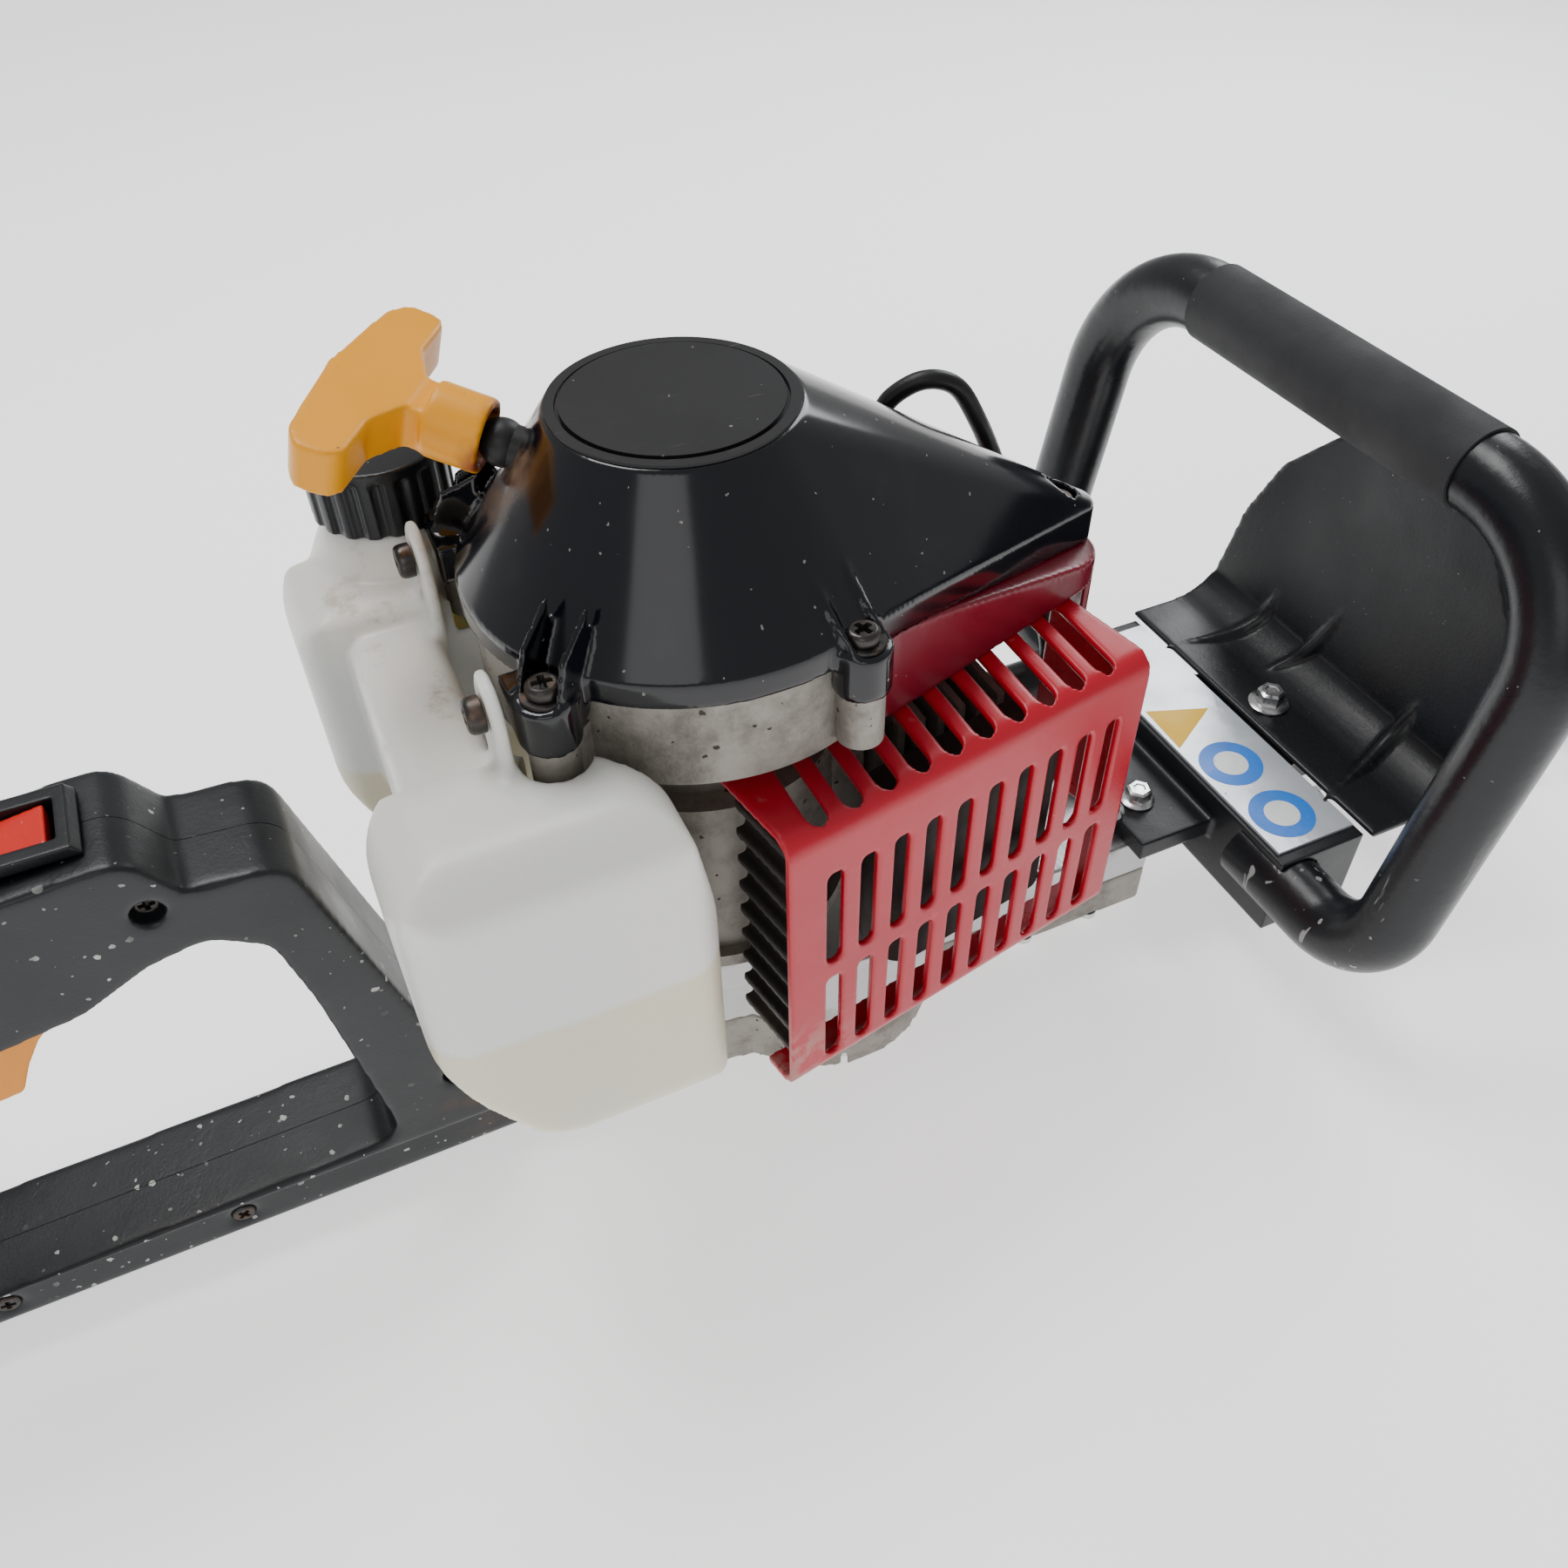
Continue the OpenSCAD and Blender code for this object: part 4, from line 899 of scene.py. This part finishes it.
# ---------------------------------------------------------------- rear handle
# Both shells are rounded as one, then parted along the seam.
shell_nodes = ["rear_handle_right_shell", "rear_handle_left_shell"]
SEAM = 0.00012
shells = add("handle_blank", joined(shell_nodes), SPATTERED)
remeshed(shells, 1.1, 18)
for name, node, sign in (("right_handle_shell", shell_nodes[0], -1),
                         ("left_handle_shell", shell_nodes[1], 1)):
    bm = bmesh.new()
    bm.from_mesh(shells.data)
    bmesh.ops.bisect_plane(
        bm, geom=bm.verts[:] + bm.edges[:] + bm.faces[:], plane_co=(0, sign * SEAM, 0),
        plane_no=(0, sign, 0), clear_inner=True)
    mesh = bpy.data.meshes.new(name)
    bm.to_mesh(mesh)
    bm.free()
    o = add(name, mesh, SPATTERED)
    smooth(o)
    stand_for(o, [node])
bpy.data.objects.remove(shells)


# ---------------------------------------------------------------- screws and bolts
def fasteners(name, node, material, build):
    """The screws or bolts of one CAD node, drawn in full."""
    bm = bmesh.new()
    build(bm)
    o = from_bm(name, bm, material, None)
    smooth(o, 38)
    stand_for(o, [node])


def starter_screw_set(bm):
    for i, (a, r) in enumerate(LUGS):
        pan_screw(bm, lug_place(a, r, 211), (0, 0, 1), 4.5, 3.4, 6.2, 0.5 + i, 20)
    pan_screw(bm, at(TAIL_SCREW_X, 0, TAIL_TOP_Z), (0, 0, 1), 4.9, 3, 0, 0.9, 16)


def tank_screw_set(bm):
    for i, s in enumerate((1, -1)):
        pan_screw(bm, at(-68, s * 36, 205), (-1, 0, 0), 4.9, 4.4, 0, 0.4 + i, 0)


def handle_screw_set(bm):
    spots = [(-160, 158), (-178, 9), (-251, 9), (-100, 46), (-299, 90), (-276, 150), (-70, 8)]
    for i, (x, z) in enumerate(spots):
        pan_screw(bm, at(x, -13.6, z), (0, -1, 0), 3.7, 2.3, 0, 0.7 * i, 24)


def bracket_bolt_set(bm):
    for x in (158, 172):
        for y in (-13, 13):
            hex_bolt(bm, at(x, y, 50), (0, 0, 1), 8.6, 5, 6.6, 0.2 + 0.02 * (x + y))
            lathe(bm, [(0, 34), (3, 34), (3, 50.5), (0, 50.5)], frame_of(at(x, y, 0), (0, 0, 1)))
    hex_bolt(bm, at(242, 0, 62.9), (0, 0, 1), 9.6, 5.6, 8, 0.3)
    lathe(bm, [(0, 46), (3, 46), (3, 63.5), (0, 63.5)], frame_of(at(242, 0, 0), (0, 0, 1)))


def blade_bolt_set(bm):
    for i in range(5):
        x = 244 + 124 * i
        lathe(bm, [(0, 9.4), (5.6, 9.4), (6, 9.9), (6, 12.2), (3, 12.2), (3, 26), (0, 26)],
              frame_of(at(x, 0, 0), (0, 0, 1)), 40)
        hex_bolt(bm, at(x, 0, 23.6), (0, 0, 1), 8.4, 4, 0, 0.4 * i)
    x = (cad_high[0] - AXIS_X) / MM - 16
    pan_screw(bm, at(x, 0, 23.6), (0, 0, 1), 4.4, 2.9, 0, 0.2, 5)


fasteners("cover_screws", "starter_screws", DARK, starter_screw_set)
fasteners("tank_mount_screws", "tank_screws", DARK, tank_screw_set)
fasteners("shell_screws", "handle_screws", DARK, handle_screw_set)
fasteners("bracket_bolt_set", "bracket_bolts", ZINC, bracket_bolt_set)
fasteners("blade_bolt_set", "blade_bolts", ZINC, blade_bolt_set)

# ---------------------------------------------------------------- ignition lead
lead = swept([at(*p) for p in spline([
    (75.6, 3, 194), (76.5, 12, 196), (79, 24, 199), (80, 33, 203), (81, 40, 208),
    (84, 39, 216), (93, 35, 222), (103, 32, 219), (111, 30, 206), (119, 28.5, 188),
    (128, 26.5, 166), (132, 21, 148), (131, 8, 136), (129.5, 1.5, 130), (129, 0, 121.4)], 10)],
    0.003, 24)
lead_piece = from_bm("spark_lead", lead, RUBBER, None)
smooth(lead_piece, 60)
stand_for(lead_piece, ["ignition_lead"])


# ---------------------------------------------------------------- starter rope
# A straight cord between the machine and the handle, along the way the handle is pulled.
rope_exit = at(-38.5, 17, 243)
pull_way = Vector((-0.78336, 0.54852, 0.29237))
along = [-3.8 + 0.1 * k for k in range(100)] + [7 + 2 * k for k in range(11)]
rope_path = [rope_exit + pull_way * t * MM for t in along]
cord = from_bm("starter_cord", swept(rope_path, 0.0017, 16), ROPE, None)
smooth(cord, 60)
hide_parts("starter_rope")
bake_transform(cord)

# ---------------------------------------------------------------- label
def flat(name, points, z, material):
    """A thin film cut to a plain shape and laid on the label."""
    bm = bmesh.new()
    prism(bm, points, z, z + 0.12, "xy")
    return from_bm(name, bm, material, "machine")


def disc(x, y, r, n=48):
    return [(x + r * math.cos(2 * math.pi * k / n), y + r * math.sin(2 * math.pi * k / n))
            for k in range(n)]


flat("label_triangle", [(196.3, 18.5), (220.2, 9.4), (195.5, -5.1)], 61.2, LABEL_YELLOW)
flat("label_disc_a", disc(208, -20.5, 12.2), 61.2, LABEL_BLUE)
flat("label_disc_b", disc(208, -50.4, 12.2), 61.2, LABEL_BLUE)
flat("label_field_a", disc(208, -20.5, 6.6), 61.3, LABEL_WHITE)
flat("label_field_b", disc(208, -50.4, 6.6), 61.3, LABEL_WHITE)

# ---------------------------------------------------------------- finish
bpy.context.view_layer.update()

floor_mesh = bpy.data.meshes.new("floor")
floor_mesh.from_pydata([(-6, -6, 0), (6, -6, 0), (6, 6, 0), (-6, 6, 0)], [], [(0, 1, 2, 3)])
paper = Mat("floor_paper", (0.98, 0.98, 0.98), 0.8, specular=0.2)
paper.mix(paper.ramp(paper.noise(3, 3), 0.4, 0.7, 0, 0.3), (0.96, 0.96, 0.96))
paper.b.inputs["Emission Color"].default_value = (1, 1, 1, 1)
paper.b.inputs["Emission Strength"].default_value = 0.9
floor = add("floor", floor_mesh, paper.done())
floor.location.z = -0.0005
